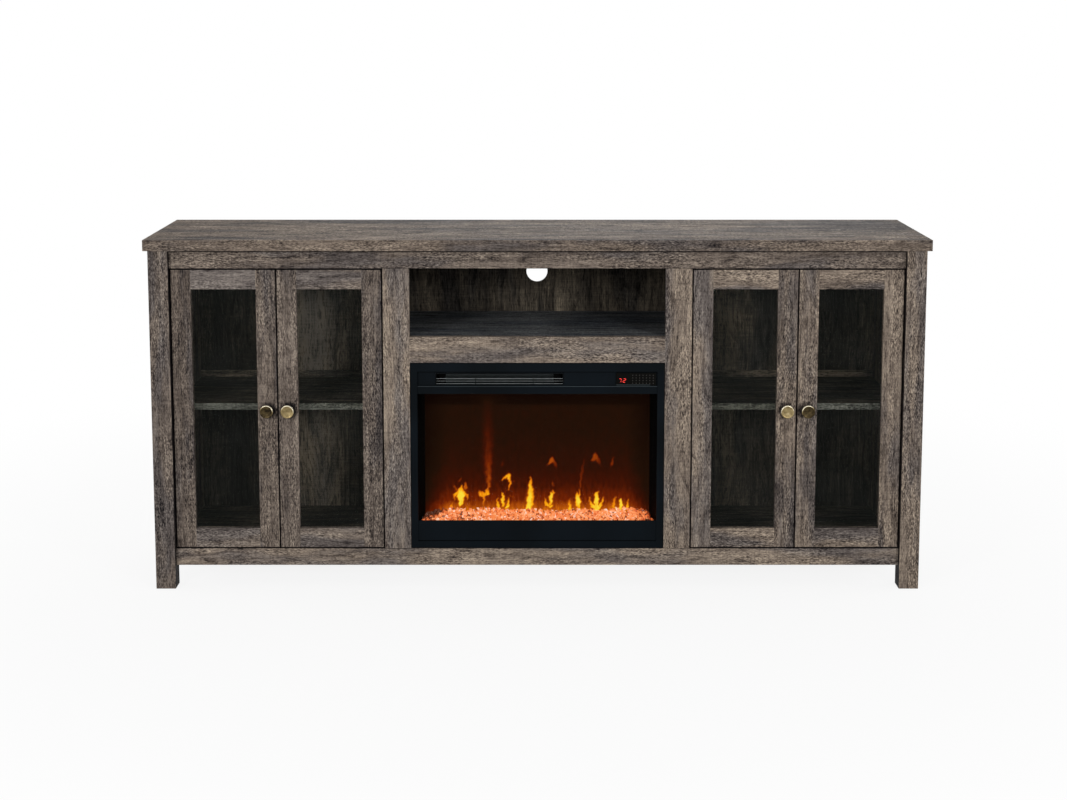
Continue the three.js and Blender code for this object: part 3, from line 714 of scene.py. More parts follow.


# Painted light and shade: how much darker or lighter the back panel's print is behind each pair of doors,
# from side to side
LIGHT_PLACES = (-0.83, -0.7, -0.6, -0.54, -0.5, -0.44, -0.35, 0.35, 0.44, 0.5, 0.56, 0.6, 0.72, 0.83)
LIGHT_ABOVE_SHELF = (-0.2, -0.28, 0.44, 0.5, 0.33, 0.06, -0.06, -0.04, 0.32, 0.2, -0.04, -0.1, -0.3, 0.04)
LIGHT_BELOW_SHELF = (-0.18, -0.18, 0.2, 0.42, 0.28, 0.1, -0.06, -0.04, 0.36, 0.12, -0.14, -0.2, -0.3, 0.0)
LIGHT_STRIPS = 56


def back_panel():
    """The thin back, printed like the timber in front with painted light and shade on it, and bare
    hardboard behind.
    """
    bm = node_copy("back_panel")
    low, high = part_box("back_panel")
    for place in np.linspace(low.x, high.x, LIGHT_STRIPS + 1)[1:-1]:
        slice_at(bm, X, place)
    shelf_low, shelf_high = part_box("shelf_left")
    slice_at(bm, Z, shelf_low.z)
    slice_at(bm, Z, shelf_high.z)
    name, materials = "back_panel_sheet", ("inner_wood", "hardboard")
    piece = timber_piece(name, [(bm, Z, 0)], "cabinet", "inner_wood", ["back_panel"], materials)
    points = points_of(piece.data.vertices)
    above, below = [np.interp(points[:, X], LIGHT_PLACES, tones)
                    for tones in (LIGHT_ABOVE_SHELF, LIGHT_BELOW_SHELF)]
    write(piece.data, "tone", np.where(points[:, Z] > (shelf_low.z + shelf_high.z) / 2, above, below))
    for face in piece.data.polygons:
        face.material_index = int(face.normal.y > 0.5)


PIN_RADIUS = 0.0025
PIN_LENGTH = 0.009
PIN_INSET = 0.045
PIN_SIDES = 16
NAIL_PITCH = 0.11
NAIL_MARGIN = 0.012
NAIL_RADIUS = 0.0024
NAIL_PROUD = 0.0006
NAIL_SIDES = 10


def back_nails():
    """Flat nail heads round the back panel and along both dividers, on its outer side."""
    low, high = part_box("back_panel")
    ends = {axis: (low[axis] + NAIL_MARGIN, high[axis] - NAIL_MARGIN) for axis in (X, Z)}
    rows = {axis: np.linspace(*pair, round((pair[1] - pair[0]) / NAIL_PITCH) + 1)
            for axis, pair in ends.items()}
    dividers = [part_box(f"divider_{side}") for side in SIDES]
    columns = [*ends[X]] + [(left.x + right.x) / 2 for left, right in dividers]
    places = [(x, z) for x in rows[X] for z in ends[Z]]
    places += [(x, z) for x in columns for z in rows[Z][1:-1]]
    bm = bmesh.new()
    for x, z in places:
        head = (x, high.y - NAIL_PROUD, z), (x, high.y + NAIL_PROUD, z)
        barrel(bm, *head, NAIL_RADIUS, NAIL_SIDES, NAIL_RADIUS - NAIL_PROUD)
    add_piece("back_panel_nails", bm, "cabinet", "hinge_steel")


def shelf_strip(side):
    """The thin strip on the back panel above a shelf."""
    shelf_low, shelf_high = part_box(f"shelf_{side}")
    low = Vector((shelf_low.x + SEAT_GAP, shelf_high.y - STRIP_THICKNESS, shelf_high.z + SEAT_GAP))
    high = Vector((shelf_high.x - SEAT_GAP, shelf_high.y - SEAT_GAP, shelf_high.z + STRIP_HEIGHT))
    boards = [(board(low, high, SHEET_EASE), X, STRIP_TONE)]
    timber_piece(f"shelf_strip_{side}", boards, "cabinet", "inner_wood")


def shelf_pins(side):
    """Four pins that hold a shelf, each let into the board beside it."""
    low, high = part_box(f"shelf_{side}")
    z = low.z - SEAT_GAP - PIN_RADIUS
    bm = bmesh.new()
    for x, way in ((low.x, 1), (high.x, -1)):
        for y in (low.y + PIN_INSET, high.y - PIN_INSET):
            barrel(bm, (x + way * SEAT_GAP, y, z), (x + way * PIN_LENGTH, y, z), PIN_RADIUS, PIN_SIDES)
    add_piece(f"shelf_pins_{side}", bm, "cabinet", "hinge_steel")


# The painted shadow round a knob: cuts in the wood beside it, and how much darker it is at each radius
KNOB_SHADE_CUTS = (0.003, 0.009, 0.014, 0.0175, 0.0205)
KNOB_SHADE_RADII = (0.009, 0.016, 0.0205)
KNOB_SHADE_TONES = (0.45, 0.34, 0.0)
KNOB_SHADE_DRIFT = 0.0018  # off the knob, towards the middle of the stand, and half as far down


def rebated(outer, inner, front, seat, back):
    """Outline of a door member, across by depth: full in front, stepped back for the glass."""
    stepped = inner - math.copysign(GLASS_LAP, inner - outer)
    return [
        (outer, front), (inner, front), (inner, seat), (stepped, seat), (stepped, back), (outer, back),
    ]


def door_frame(name):
    """Two stiles and two rails, rebated for the glass, with beads that hold it and hinge bores."""
    low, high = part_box(f"door_{name}_frame")
    glass_low, glass_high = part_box(f"door_{name}_glass")
    seat = glass_low.y - SEAT_GAP
    inner = {axis: (low[axis] + DOOR_MEMBER, high[axis] - DOOR_MEMBER) for axis in (X, Z)}
    knob_at = sum(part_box(f"door_{name}_knob"), Vector((0, 0, 0))) / 2
    cups = [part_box(f"door_{name}_hinge_cup_{level}") for level in LEVELS]
    tones = DOOR_TONES[name]
    boards = []
    for outer, inside, tone in ((low.x, inner[X][0], tones[0]), (high.x, inner[X][1], tones[1])):
        stile = stick(rebated(outer, inside, low.y, seat, high.y), Z, (low.z, high.z))
        if min(outer, inside) < (cups[0][0].x + cups[0][1].x) / 2 < max(outer, inside):
            stile = bored(stile, cup_cutters(cups, high.y))
        else:
            # Cuts for the painted shadow round the knob
            for axis in (X, Z):
                for inset in KNOB_SHADE_CUTS:
                    slice_at(stile, axis, knob_at[axis] - inset)
                    slice_at(stile, axis, knob_at[axis] + inset)
        side = math.copysign(1, outer - inside)
        # Painted shade on the sides of the members that face the gaps
        boards.append((stile, Z, tone, (X, side, *GAP_SHADE), (Z, 1, *GAP_SHADE), (Z, -1, *GAP_SHADE)))
    for outer, inside, tone in ((low.z, inner[Z][0], tones[2]), (high.z, inner[Z][1], tones[3])):
        outline = [(y, z) for z, y in rebated(outer, inside, low.y, seat, high.y)]
        way = math.copysign(1, inside - outer)
        boards.append((stick(outline, X, inner[X]), X, tone, (Z, -way, *GAP_SHADE)))
        height = sorted((outer, inside - way * GLASS_LAP))
        for end, reach in zip(inner[X], (-GLASS_LAP, GLASS_LAP)):
            tenon = sorted((end, end + reach))
            corners = [Vector(place) for place in zip(tenon, (seat, high.y), height)]
            boards.append((board(*corners, 0), X, tone))
    boards += glass_beads(inner, glass_high.y + SEAT_GAP, high.y - SEAT_GAP)
    body, node = f"door_{name}", f"door_{name}_frame"
    piece = timber_piece(f"door_{name}_timber", boards, body, "wood", [node])
    # Painted shadow of the knob on the wood round it
    points = points_of(piece.data.vertices)
    middle = knob_at - Vector((math.copysign(KNOB_SHADE_DRIFT, knob_at.x), 0, KNOB_SHADE_DRIFT / 2))
    aside = np.hypot(points[:, X] - middle.x, points[:, Z] - middle.z)
    shade = np.interp(aside, KNOB_SHADE_RADII, KNOB_SHADE_TONES) * (points[:, Y] < seat)
    unshadowed = np.array([tone.value for tone in piece.data.attributes["tone"].data])
    write(piece.data, "tone", unshadowed - shade)


def glass_beads(inner, front, back):
    """Four slim beads in the rebate behind the glass."""
    (left, right), (bottom, top) = inner[X], inner[Z]
    lap = GLASS_LAP - SEAT_GAP
    spans = [
        ((left - lap, bottom - lap), (left, top + lap), Z),
        ((right, bottom - lap), (right + lap, top + lap), Z),
        ((left + SEAT_GAP, bottom - lap), (right - SEAT_GAP, bottom), X),
        ((left + SEAT_GAP, top), (right - SEAT_GAP, top + lap), X),
    ]
    return [(board((x0, front, z0), (x1, back, z1), SHEET_EASE), along, BEAD_TONE)
            for (x0, z0), (x1, z1), along in spans]


def cup_cutters(cups, back):
    """Round cutters for the bores that the hinge cups lie in."""
    bm = bmesh.new()
    for low, high in cups:
        middle = (low + high) / 2
        radius = (high.x - low.x) / 2 - CUP_FLANGE + BORE_CLEARANCE
        start = (middle.x, low.y - BORE_CLEARANCE, middle.z)
        barrel(bm, start, (middle.x, back + DOOR_MEMBER, middle.z), radius, BORE_SIDES)
    return bm


# The knob's sizes: its front rim and the dish inside it, then its head, neck and foot
KNOB_RIM = 0.0012
KNOB_DISH = 0.0005
KNOB_DISH_INSET = 2.4 * KNOB_RIM
KNOB_HEAD = 0.0065
KNOB_HEAD_BACK_SHARE = 0.62
KNOB_THROAT = 0.0026
KNOB_NECK = 0.0052
KNOB_NECK_START = 5 * KNOB_RIM  # behind the head
KNOB_NECK_END = 2.5 * KNOB_RIM  # before the foot
KNOB_FOOT = 0.0085
KNOB_FOOT_DEPTH = 0.0028
KNOB_FOOT_ROUND = 0.0008
KNOB_SIDES = 56
KNOB_FILLET_STEPS = 4
KNOB_SHARP_ANGLE = 32
HIGHLIGHT_TILT = 0.35  # the worn rim carries a painted highlight, strongest at its top, a little towards the middle of the stand
HIGHLIGHT_LEAST = 0.3
# Painted shade on the neck and foot, in the shadow of the head
NECK_SHADE = 0.4


def fillet(centre, radius, start, end):
    """Points on an arc of a profile, from one angle to another, in degrees."""
    angles = [math.radians(start + (end - start) * i / KNOB_FILLET_STEPS)
              for i in range(KNOB_FILLET_STEPS + 1)]
    return [(centre[0] + radius * math.cos(a), centre[1] + radius * math.sin(a)) for a in angles]


def knob(name):
    """A turned knob: a flat face in a raised rim, a waisted neck and a round foot."""
    low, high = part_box(f"door_{name}_knob")
    radius = (high.x - low.x) / 2
    back = high.y - low.y
    rim, dish, head, neck = KNOB_RIM, KNOB_DISH, KNOB_HEAD, KNOB_NECK
    dish_radius = radius - KNOB_DISH_INSET
    foot, edge = back - KNOB_FOOT_DEPTH, KNOB_FOOT_ROUND
    profile = [
        (0, dish), (dish_radius - 2 * dish, dish), (dish_radius, dish / 2), (dish_radius + dish, 0),
        *fillet((radius - rim, rim), rim, -90, 0),
        *fillet((radius - rim, head - rim), rim, 0, 90),
        (radius * KNOB_HEAD_BACK_SHARE, head + rim / 2),
        (neck + rim, head + KNOB_THROAT), (neck, head + KNOB_NECK_START),
        (neck, foot - KNOB_NECK_END), (neck + rim, foot - rim / 2),
        *fillet((KNOB_FOOT - edge, foot + edge), edge, -90, 0),
        (KNOB_FOOT, back), (0, back),
    ]
    centre = Vector(((low.x + high.x) / 2, low.y, (low.z + high.z) / 2))
    body, node = f"door_{name}", f"door_{name}_knob"
    bm = turned(profile, centre, KNOB_SIDES)
    mesh = add_piece(f"door_{name}_knob_turned", bm, body, "brass", [node], smooth=True).data
    mesh.set_sharp_from_angle(angle=math.radians(KNOB_SHARP_ANGLE))
    points = points_of(mesh.vertices) - centre
    across = np.hypot(points[:, X], points[:, Z])
    # Painted highlight on the worn band of the rim, brightest towards the top
    up = points[:, Z] - math.copysign(HIGHLIGHT_TILT, centre.x) * points[:, X]
    rubbed = np.clip((across - radius + 2 * rim) / rim, 0, 1) * np.clip(HIGHLIGHT_LEAST + up / radius, 0, 1)
    write(mesh, "rubbed", rubbed)
    write(mesh, "tone", KNOB_REFLECTION_TONES[name] * (1 - rubbed) - NECK_SHADE * (points[:, Y] > head))


def eased_node(node, body, slot, suffix):
    """A CAD node's own shape with its edges rounded."""
    bm = node_copy(node)
    ease_edges(bm, METAL_EASE)
    add_piece(f"{node}_{suffix}", bm, body, slot, [node])


def paint(node, key):
    """Gives a CAD node that is shown as it is its finish."""
    slots = frame["nodes"][node].data.materials
    slots.clear()
    slots.append(MATERIALS[key])


# Fire insert


VENT_RIM = 0.0016
VENT_STAY = 0.0016
VENT_STAY_SHARES = (0.31, 0.76)  # places of the stays between the wires, along the vent
VENT_WIRES = ((0.53, 0.0007), (0.32, 0.0004), (0.1, 0.0006))  # share of its height, and radius
WIRE_SIDES = 10


def vent():
    """The outlet: a slim rim and two stays, with three wires strung along it behind them."""
    low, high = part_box("vent_grille")
    rim = VENT_RIM
    corners = [((low.x, low.y, z), (high.x, high.y, z + rim)) for z in (low.z, high.z - rim)]
    for x in (low.x, high.x - rim):
        corners.append(((x, low.y, low.z + rim), (x + rim, high.y, high.z - rim)))
    for share in VENT_STAY_SHARES:
        x = low.x + share * (high.x - low.x)
        stay_high = (x + VENT_STAY, low.y + VENT_STAY, (low.z + high.z) / 2 + rim)
        corners.append(((x, low.y, low.z + rim), stay_high))
    rims = joined(board(*pair, METAL_EASE) for pair in corners)
    add_piece("vent_rim_and_stays", rims, "cabinet", "grille", ["vent_grille"])
    wires = bmesh.new()
    for share, radius in VENT_WIRES:
        z = low.z + share * (high.z - low.z)
        y = low.y + VENT_STAY + radius
        barrel(wires, (low.x + rim / 2, y, z), (high.x - rim / 2, y, z), radius, WIRE_SIDES)
    add_piece("vent_wires", wires, "cabinet", "bright_metal", materials=("wire",))


FRAME_RIM = 0.016
LINE_PROUD = 0.0004
# From the foot of the frame up to each line, how tall it is, how deep its panel lies, its finish
# Painted light: the lip's paler grey is a highlight, and the black lines are shadow in the seams
FRAME_LINES = {
    "strip_lip_highlight": (0.3792, 0.0013, 0.002, "lip"),
    "strip_shadow_line": (0.4122, 0.002, 0.005, "box_steel"),
    "foot_shadow_line": (0.016, 0.0015, 0.002, "box_steel"),
}


def frame_lines():
    """Fine lines across the insert's front: a real lip, painted paler for the light on its ledge, and
    black lines painted as the shadow in the seams between its pressed panels.
    """
    low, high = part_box("insert_frame")
    for name, (height, tall, recess, key) in FRAME_LINES.items():
        front = low.y + recess - LINE_PROUD
        start = (low.x + FRAME_RIM, front, low.z + height)
        end = (high.x - FRAME_RIM, front + 2 * LINE_PROUD, low.z + height + tall)
        line = board(start, end, LINE_PROUD / 2)
        add_piece(f"insert_{name}", line, "cabinet", "black_steel", materials=(key,))


HEATER_FIN_PITCH = 0.0026
HEATER_FIN = 0.0004
HEATER_TUBE_RADIUS = 0.0032
HEATER_TUBE_INSET = 0.007
HEATER_HEIGHT = 0.026
HEATER_BRACKET = 0.017


def heater():
    """The finned heater behind the outlet, held by a black bracket at each end."""
    low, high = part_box("heater_element")
    bottom = high.z - HEATER_HEIGHT
    start, end = low.x + HEATER_BRACKET, high.x - HEATER_BRACKET
    count = round((end - start) / HEATER_FIN_PITCH)
    fins = joined(board((x, low.y, bottom), (x + HEATER_FIN, high.y, high.z), 0)
                  for x in np.linspace(start, end - HEATER_FIN, count))
    middle = (low.y + high.y) / 2
    for z in (bottom + HEATER_TUBE_INSET, high.z - HEATER_TUBE_INSET):
        barrel(fins, (low.x, middle, z), (high.x, middle, z), HEATER_TUBE_RADIUS, PIN_SIDES)
    add_piece("heater_fins", fins, "cabinet", "bright_metal", ["heater_element"], ("fin",))
    brackets = joined(board((x, low.y, low.z), (x + HEATER_BRACKET, high.y, high.z), METAL_EASE)
                      for x in (low.x, end))
    add_piece("heater_brackets", brackets, "cabinet", "bright_metal", materials=("box_steel",))


DIGIT_HEIGHT = 0.0086
DIGIT_WIDTH = 0.0052
DIGIT_STROKE = 0.0015
DIGIT_GAP_SHARE = 0.3  # of a stroke's width, from each end of a segment to the next
DIGIT_POINT_SHARE = 0.42
DIGIT_SLANT = 0.16
DIGIT_PLACES = (0.0056, 0.0156)  # from the left end of the panel to each digit
DIGIT_FOOT = 0.0072  # above the panel's lower edge
MARK_PROUD = 0.0002
SHOWN_NUMBER = "72"
# Each segment of a digit by the share of its width and height at its middle, and its way
SEGMENT_SHARES = {
    "top": (0.5, 1, X),
    "middle": (0.5, 0.5, X),
    "bottom": (0.5, 0, X),
    "upper_right": (1, 0.75, Z),
    "lower_left": (0, 0.25, Z),
    "lower_right": (1, 0.25, Z),
}
SEGMENTS_LIT = {
    "7": ("top", "upper_right", "lower_right"),
    "2": ("top", "upper_right", "middle", "lower_left", "bottom"),
}
MARK_COLUMNS = 7
MARK_ROWS = 4
MARK_AREA = (0.038, 0.085)  # from the left end of the panel
MARK_FOOT = 0.0052
MARK_SIZE = 0.0017
CONTROL_EDGE = 0.078


def mark(front, left, foot, right, top):
    """A thin patch on a front, between two places across and two places up."""
    return board((left, front - MARK_PROUD, foot), (right, front + MARK_PROUD, top), 0)


def segment(low, place, name):
    """One stroke of a digit, pointed at its ends and slanted."""
    across, up, way = SEGMENT_SHARES[name]
    x = low.x + place + across * DIGIT_WIDTH
    z = low.z + DIGIT_FOOT + up * DIGIT_HEIGHT
    run = DIGIT_WIDTH if way == X else DIGIT_HEIGHT / 2
    half = [DIGIT_STROKE / 2, DIGIT_STROKE / 2]
    half[way == Z] = run / 2 - DIGIT_STROKE * DIGIT_GAP_SHARE
    bm = mark(low.y, x - half[0], z - half[1], x + half[0], z + half[1])
    ends = [edge for edge in bm.edges if abs(edge.verts[0].co.y - edge.verts[1].co.y) > MARK_PROUD]
    bevel(bm, ends, DIGIT_STROKE * DIGIT_POINT_SHARE, 1)
    for vert in bm.verts:
        vert.co.x += (vert.co.z - low.z - DIGIT_FOOT) * DIGIT_SLANT
    return bm


def control_marks():
    """The two lit digits of the touch panel's display, its faint touch marks and its lower edge."""
    low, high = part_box("control_panel")
    lit = joined(segment(low, place, name)
                 for figure, place in zip(SHOWN_NUMBER, DIGIT_PLACES) for name in SEGMENTS_LIT[figure])
    half = MARK_SIZE / 2
    marks = joined(mark(low.y, x - half, z - half, x + half, z + half)
                   for x in np.linspace(low.x + MARK_AREA[0], low.x + MARK_AREA[1], MARK_COLUMNS)
                   for z in np.linspace(low.z + MARK_FOOT, high.z - MARK_FOOT, MARK_ROWS))
    foot = low.z + METAL_EASE
    edge = mark(low.y, low.x + METAL_EASE, foot, low.x + CONTROL_EDGE, foot + DIGIT_STROKE)
    for name, bm, key in (
        ("display_digits", lit, "digits"), ("touch_marks", marks, "marks"), ("control_edge", edge, "lip"),
    ):
        add_piece(name, bm, "cabinet", "control", materials=(key,))


CHEEK = 0.0137  # how far the box's cheeks come in at the screen
GRID_COLUMNS = 330
GRID_ROWS = 120
GRID_CROWDING = 1.7  # above 1 puts more rows near the foot of the screen
LIGHT_DEPTH = 0.0002
STROKE_STEPS = 26
STROKE_REACH = 1.2  # how many widths from its middle line a stroke of light ends
STROKE_SOFTNESS = 0.7  # over how many widths its edge fades
BEAM_SOFTNESS = 1.3
FLAME_SWELL = 1.25
FLAME_WAVES = ((0.0011, 330, 90), (0.0008, 710, -260), (0.0005, 1500, 640))  # size, and turns in rad/m
HALO_SHARE = 0.46
HALO_WIDTHS = 2.1

# Each stroke of light: three points, the width at each and the warmth at each. Points are
# shares of the lit screen's half width, from its middle, and of its height, from its foot.
# Widths are shares of the half width. The flames stand from left to right.
FLAME_STROKE_SHARES = [
    # a short hook at the far left
    ((-0.78, 0.075), (-0.765, 0.1), (-0.755, 0.118), (0.014, 0.011, 0.004), (0.65, 0.6, 0.4)),
    # a tall arrow with two barbs and loose sparks
    ((-0.683, 0.11), (-0.682, 0.18), (-0.681, 0.25), (0.016, 0.034, 0.005), (0.9, 1, 0.6)),
    ((-0.695, 0.215), (-0.745, 0.185), (-0.742, 0.145), (0.012, 0.011, 0.005), (0.8, 0.7, 0.5)),
    ((-0.665, 0.21), (-0.62, 0.18), (-0.62, 0.135), (0.012, 0.011, 0.005), (0.8, 0.7, 0.5)),
    ((-0.645, 0.235), (-0.637, 0.25), (-0.632, 0.28), (0.018, 0.012, 0.004), (0.45, 0.45, 0.3)),
    ((-0.71, 0.215), (-0.735, 0.235), (-0.748, 0.255), (0.012, 0.009, 0.003), (0.45, 0.4, 0.25)),
    ((-0.69, 0.285), (-0.687, 0.3), (-0.685, 0.315), (0.007, 0.008, 0.003), (0.35, 0.38, 0.25)),
    # two wings on a thin stem
    ((-0.482, 0.09), (-0.478, 0.14), (-0.472, 0.18), (0.006, 0.008, 0.012), (0.45, 0.6, 0.75)),
    ((-0.478, 0.17), (-0.5, 0.185), (-0.518, 0.21), (0.012, 0.024, 0.01), (0.7, 0.68, 0.45)),
    ((-0.468, 0.18), (-0.445, 0.19), (-0.44, 0.225), (0.01, 0.022, 0.009), (0.75, 0.68, 0.45)),
    # a loose curl higher up
    ((-0.318, 0.295), (-0.28, 0.305), (-0.252, 0.33), (0.004, 0.013, 0.012), (0.5, 0.72, 0.8)),
    ((-0.252, 0.315), (-0.232, 0.26), (-0.258, 0.215), (0.014, 0.009, 0.005), (0.8, 0.65, 0.5)),
    ((-0.245, 0.27), (-0.225, 0.285), (-0.2, 0.282), (0.006, 0.006, 0.003), (0.5, 0.4, 0.25)),
    ((-0.245, 0.17), (-0.235, 0.165), (-0.215, 0.172), (0.004, 0.007, 0.004), (0.3, 0.4, 0.3)),
    ((-0.317, 0.4), (-0.308, 0.42), (-0.298, 0.46), (0.012, 0.009, 0.003), (0.24, 0.2, 0.12)),
    # a low flame with two arms
    ((-0.305, 0.1), (-0.307, 0.14), (-0.307, 0.185), (0.012, 0.016, 0.01), (0.8, 0.9, 0.8)),
    ((-0.335, 0.08), (-0.372, 0.11), (-0.352, 0.155), (0.01, 0.011, 0.006), (0.8, 0.75, 0.55)),
    ((-0.28, 0.08), (-0.238, 0.11), (-0.262, 0.155), (0.01, 0.011, 0.006), (0.8, 0.75, 0.55)),
    # the tallest flame
    ((-0.075, 0.08), (-0.072, 0.13), (-0.06, 0.2), (0.026, 0.024, 0.022), (1, 0.95, 0.85)),
    ((-0.058, 0.19), (-0.063, 0.25), (-0.053, 0.32), (0.025, 0.016, 0.004), (0.85, 0.75, 0.45)),
    ((-0.058, 0.085), (-0.03, 0.14), (-0.043, 0.2), (0.012, 0.012, 0.011), (0.75, 0.7, 0.7)),
    # a short flame with a curl above it
    ((0.118, 0.115), (0.122, 0.15), (0.127, 0.188), (0.013, 0.015, 0.013), (0.8, 0.95, 0.8)),
    ((0.138, 0.095), (0.068, 0.088), (0.07, 0.155), (0.01, 0.011, 0.005), (0.85, 0.8, 0.55)),
    ((0.147, 0.198), (0.145, 0.205), (0.142, 0.218), (0.011, 0.009, 0.004), (0.65, 0.6, 0.4)),
    ((0.142, 0.25), (0.141, 0.262), (0.139, 0.275), (0.008, 0.008, 0.004), (0.35, 0.38, 0.25)),
    ((0.09, 0.405), (0.12, 0.418), (0.135, 0.455), (0.004, 0.015, 0.006), (0.3, 0.42, 0.4)),
    ((0.135, 0.445), (0.165, 0.42), (0.187, 0.345), (0.018, 0.01, 0.003), (0.42, 0.3, 0.15)),
    # two flames side by side
    ((0.293, 0.07), (0.292, 0.1), (0.287, 0.158), (0.016, 0.014, 0.006), (0.8, 0.7, 0.35)),
    ((0.376, 0.07), (0.365, 0.13), (0.352, 0.2), (0.012, 0.024, 0.005), (0.7, 1, 0.6)),
    ((0.37, 0.145), (0.375, 0.18), (0.381, 0.228), (0.013, 0.009, 0.003), (0.85, 0.6, 0.35)),
    ((0.383, 0.22), (0.392, 0.38), (0.44, 0.5), (0.007, 0.013, 0.006), (0.36, 0.25, 0.12)),
    # a flame with three prongs and a curl above it
    ((0.53, 0.065), (0.53, 0.12), (0.53, 0.188), (0.014, 0.02, 0.016), (1, 1, 0.85)),
    ((0.522, 0.075), (0.475, 0.1), (0.468, 0.158), (0.014, 0.013, 0.006), (0.95, 0.8, 0.55)),
    ((0.538, 0.075), (0.582, 0.1), (0.588, 0.162), (0.014, 0.013, 0.006), (0.95, 0.8, 0.55)),
    ((0.553, 0.19), (0.553, 0.196), (0.553, 0.205), (0.005, 0.007, 0.003), (0.35, 0.4, 0.25)),
    ((0.485, 0.43), (0.508, 0.445), (0.517, 0.488), (0.004, 0.018, 0.007), (0.25, 0.38, 0.38)),
    ((0.52, 0.475), (0.555, 0.43), (0.58, 0.36), (0.02, 0.012, 0.003), (0.38, 0.25, 0.1)),
    # a low flame with two arms and a curl above it
    ((0.748, 0.07), (0.748, 0.1), (0.748, 0.138), (0.013, 0.016, 0.012), (0.9, 0.95, 0.85)),
    ((0.715, 0.07), (0.655, 0.1), (0.705, 0.162), (0.01, 0.014, 0.007), (0.7, 0.6, 0.5)),
    ((0.77, 0.06), (0.815, 0.08), (0.812, 0.14), (0.012, 0.012, 0.005), (0.85, 0.75, 0.55)),
    ((0.653, 0.365), (0.663, 0.42), (0.682, 0.465), (0.003, 0.012, 0.006), (0.12, 0.3, 0.25)),
]
# The same for the smoky beam on the left and the wide glow over the embers
BEAM_STROKE_SHARES = [
    ((-0.432, 0.205), (-0.437, 0.45), (-0.442, 0.86), (0.012, 0.075, 0.1), (0.56, 0.26, 0.105)),
    ((-0.27, 0.07), (-0.27, 0.2), (-0.27, 0.34), (0.3, 0.26, 0.16), (0.26, 0.2, 0.12)),
    ((0.1, 0.07), (0.1, 0.2), (0.1, 0.34), (0.3, 0.26, 0.16), (0.26, 0.2, 0.12)),
    ((0.45, 0.07), (0.45, 0.2), (0.45, 0.3), (0.34, 0.26, 0.16), (0.26, 0.2, 0.12)),
]
# The even glow of the screen: its warmth from the foot to the top
GLOW_HEIGHT_SHARES = (0, 0.08, 0.14, 0.24, 0.4, 0.65, 0.848, 0.862, 1)
GLOW_WARMTHS = (0.66, 0.47, 0.3, 0.19, 0.117, 0.086, 0.084, 0.03, 0.02)
GLOW_EDGE_SHARE = 0.2
GLOW_EDGE_FALL = 0.7


class FlameField:
    """How warm each point of the screen glows, painted with tapered strokes."""

    def __init__(self, points, left, right, foot, top):
        self.middle, self.half = (left + right) / 2, (right - left) / 2
        self.foot, self.tall = foot, top - foot
        x, z = points[:, X], points[:, Z]
        self.x = x + sum(size * np.sin(z * rise + x * run) for size, rise, run in FLAME_WAVES)
        self.z = z + sum(size * np.sin(x * rise - z * run) for size, rise, run in FLAME_WAVES)
        aside = np.abs(x - self.middle) / self.half
        edge = np.clip((aside - 1 + GLOW_EDGE_SHARE) / GLOW_EDGE_SHARE, 0, 1)
        even = np.interp((z - foot) / self.tall, GLOW_HEIGHT_SHARES, GLOW_WARMTHS)
        self.warmth = even * (1 - GLOW_EDGE_FALL * edge)

    def stroke(self, softness, start, bend, end, widths, warmths):
        """A curved stroke with a faint halo round it."""
        xs, zs = zip(*[(self.middle + across * self.half, self.foot + up * self.tall)
                       for across, up in (start, bend, end)])
        widths = [width * self.half * FLAME_SWELL for width in widths]
        reach = max(widths) * HALO_WIDTHS * 2
        near = np.flatnonzero(
            (self.x > min(xs) - reach) & (self.x < max(xs) + reach)
            & (self.z > min(zs) - reach) & (self.z < max(zs) + reach)
        )
        best = self.warmth[near]
        for step in range(STROKE_STEPS + 1):
            t = step / STROKE_STEPS
            parts = ((1 - t) ** 2, 2 * t * (1 - t), t * t)
            gap = np.hypot(self.x[near] - np.dot(parts, xs), self.z[near] - np.dot(parts, zs))
            gap /= np.interp(t, (0, 0.5, 1), widths)
            core = np.clip((STROKE_REACH - gap) / softness, 0, 1)
            halo = HALO_SHARE * np.exp(-((gap / HALO_WIDTHS) ** 2))
            shown = np.maximum(core * core * (3 - 2 * core), halo)
            best = np.maximum(best, np.interp(t, (0, 0.5, 1), warmths) * shown)
        self.warmth[near] = best


def flames():
    """A thin lit sheet in front of the screen, its warmth painted point by point."""
    low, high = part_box("flame_screen")
    left, right = low.x + CHEEK, high.x - CHEEK
    bm = bmesh.new()
    bmesh.ops.create_grid(bm, x_segments=GRID_COLUMNS, y_segments=GRID_ROWS, size=0.5)
    for vert in bm.verts:
        across, up = vert.co.x + 0.5, (vert.co.y + 0.5) ** GRID_CROWDING
        vert.co = (left + across * (right - left), low.y - LIGHT_DEPTH, low.z + up * (high.z - low.z))
    rim = [edge for edge in bm.edges if edge.is_boundary]
    grown = bmesh.ops.extrude_edge_only(bm, edges=rim)["geom"]
    bmesh.ops.translate(bm, vec=(0, LIGHT_DEPTH / 2, 0), verts=verts_in(grown))
    edges = [part for part in grown if isinstance(part, bmesh.types.BMEdge) and part.is_boundary]
    bmesh.ops.contextual_create(bm, geom=edges)
    bmesh.ops.recalc_face_normals(bm, faces=bm.faces)
    mesh = add_piece("flame_light", bm, "cabinet", "screen", materials=("flame",)).data
    field = FlameField(points_of(mesh.vertices), left, right, low.z, high.z)
    for stroke in FLAME_STROKE_SHARES:
        field.stroke(STROKE_SOFTNESS, *stroke)
    for stroke in BEAM_STROKE_SHARES:
        field.stroke(BEAM_SOFTNESS, *stroke)
    write(mesh, "warmth", field.warmth)


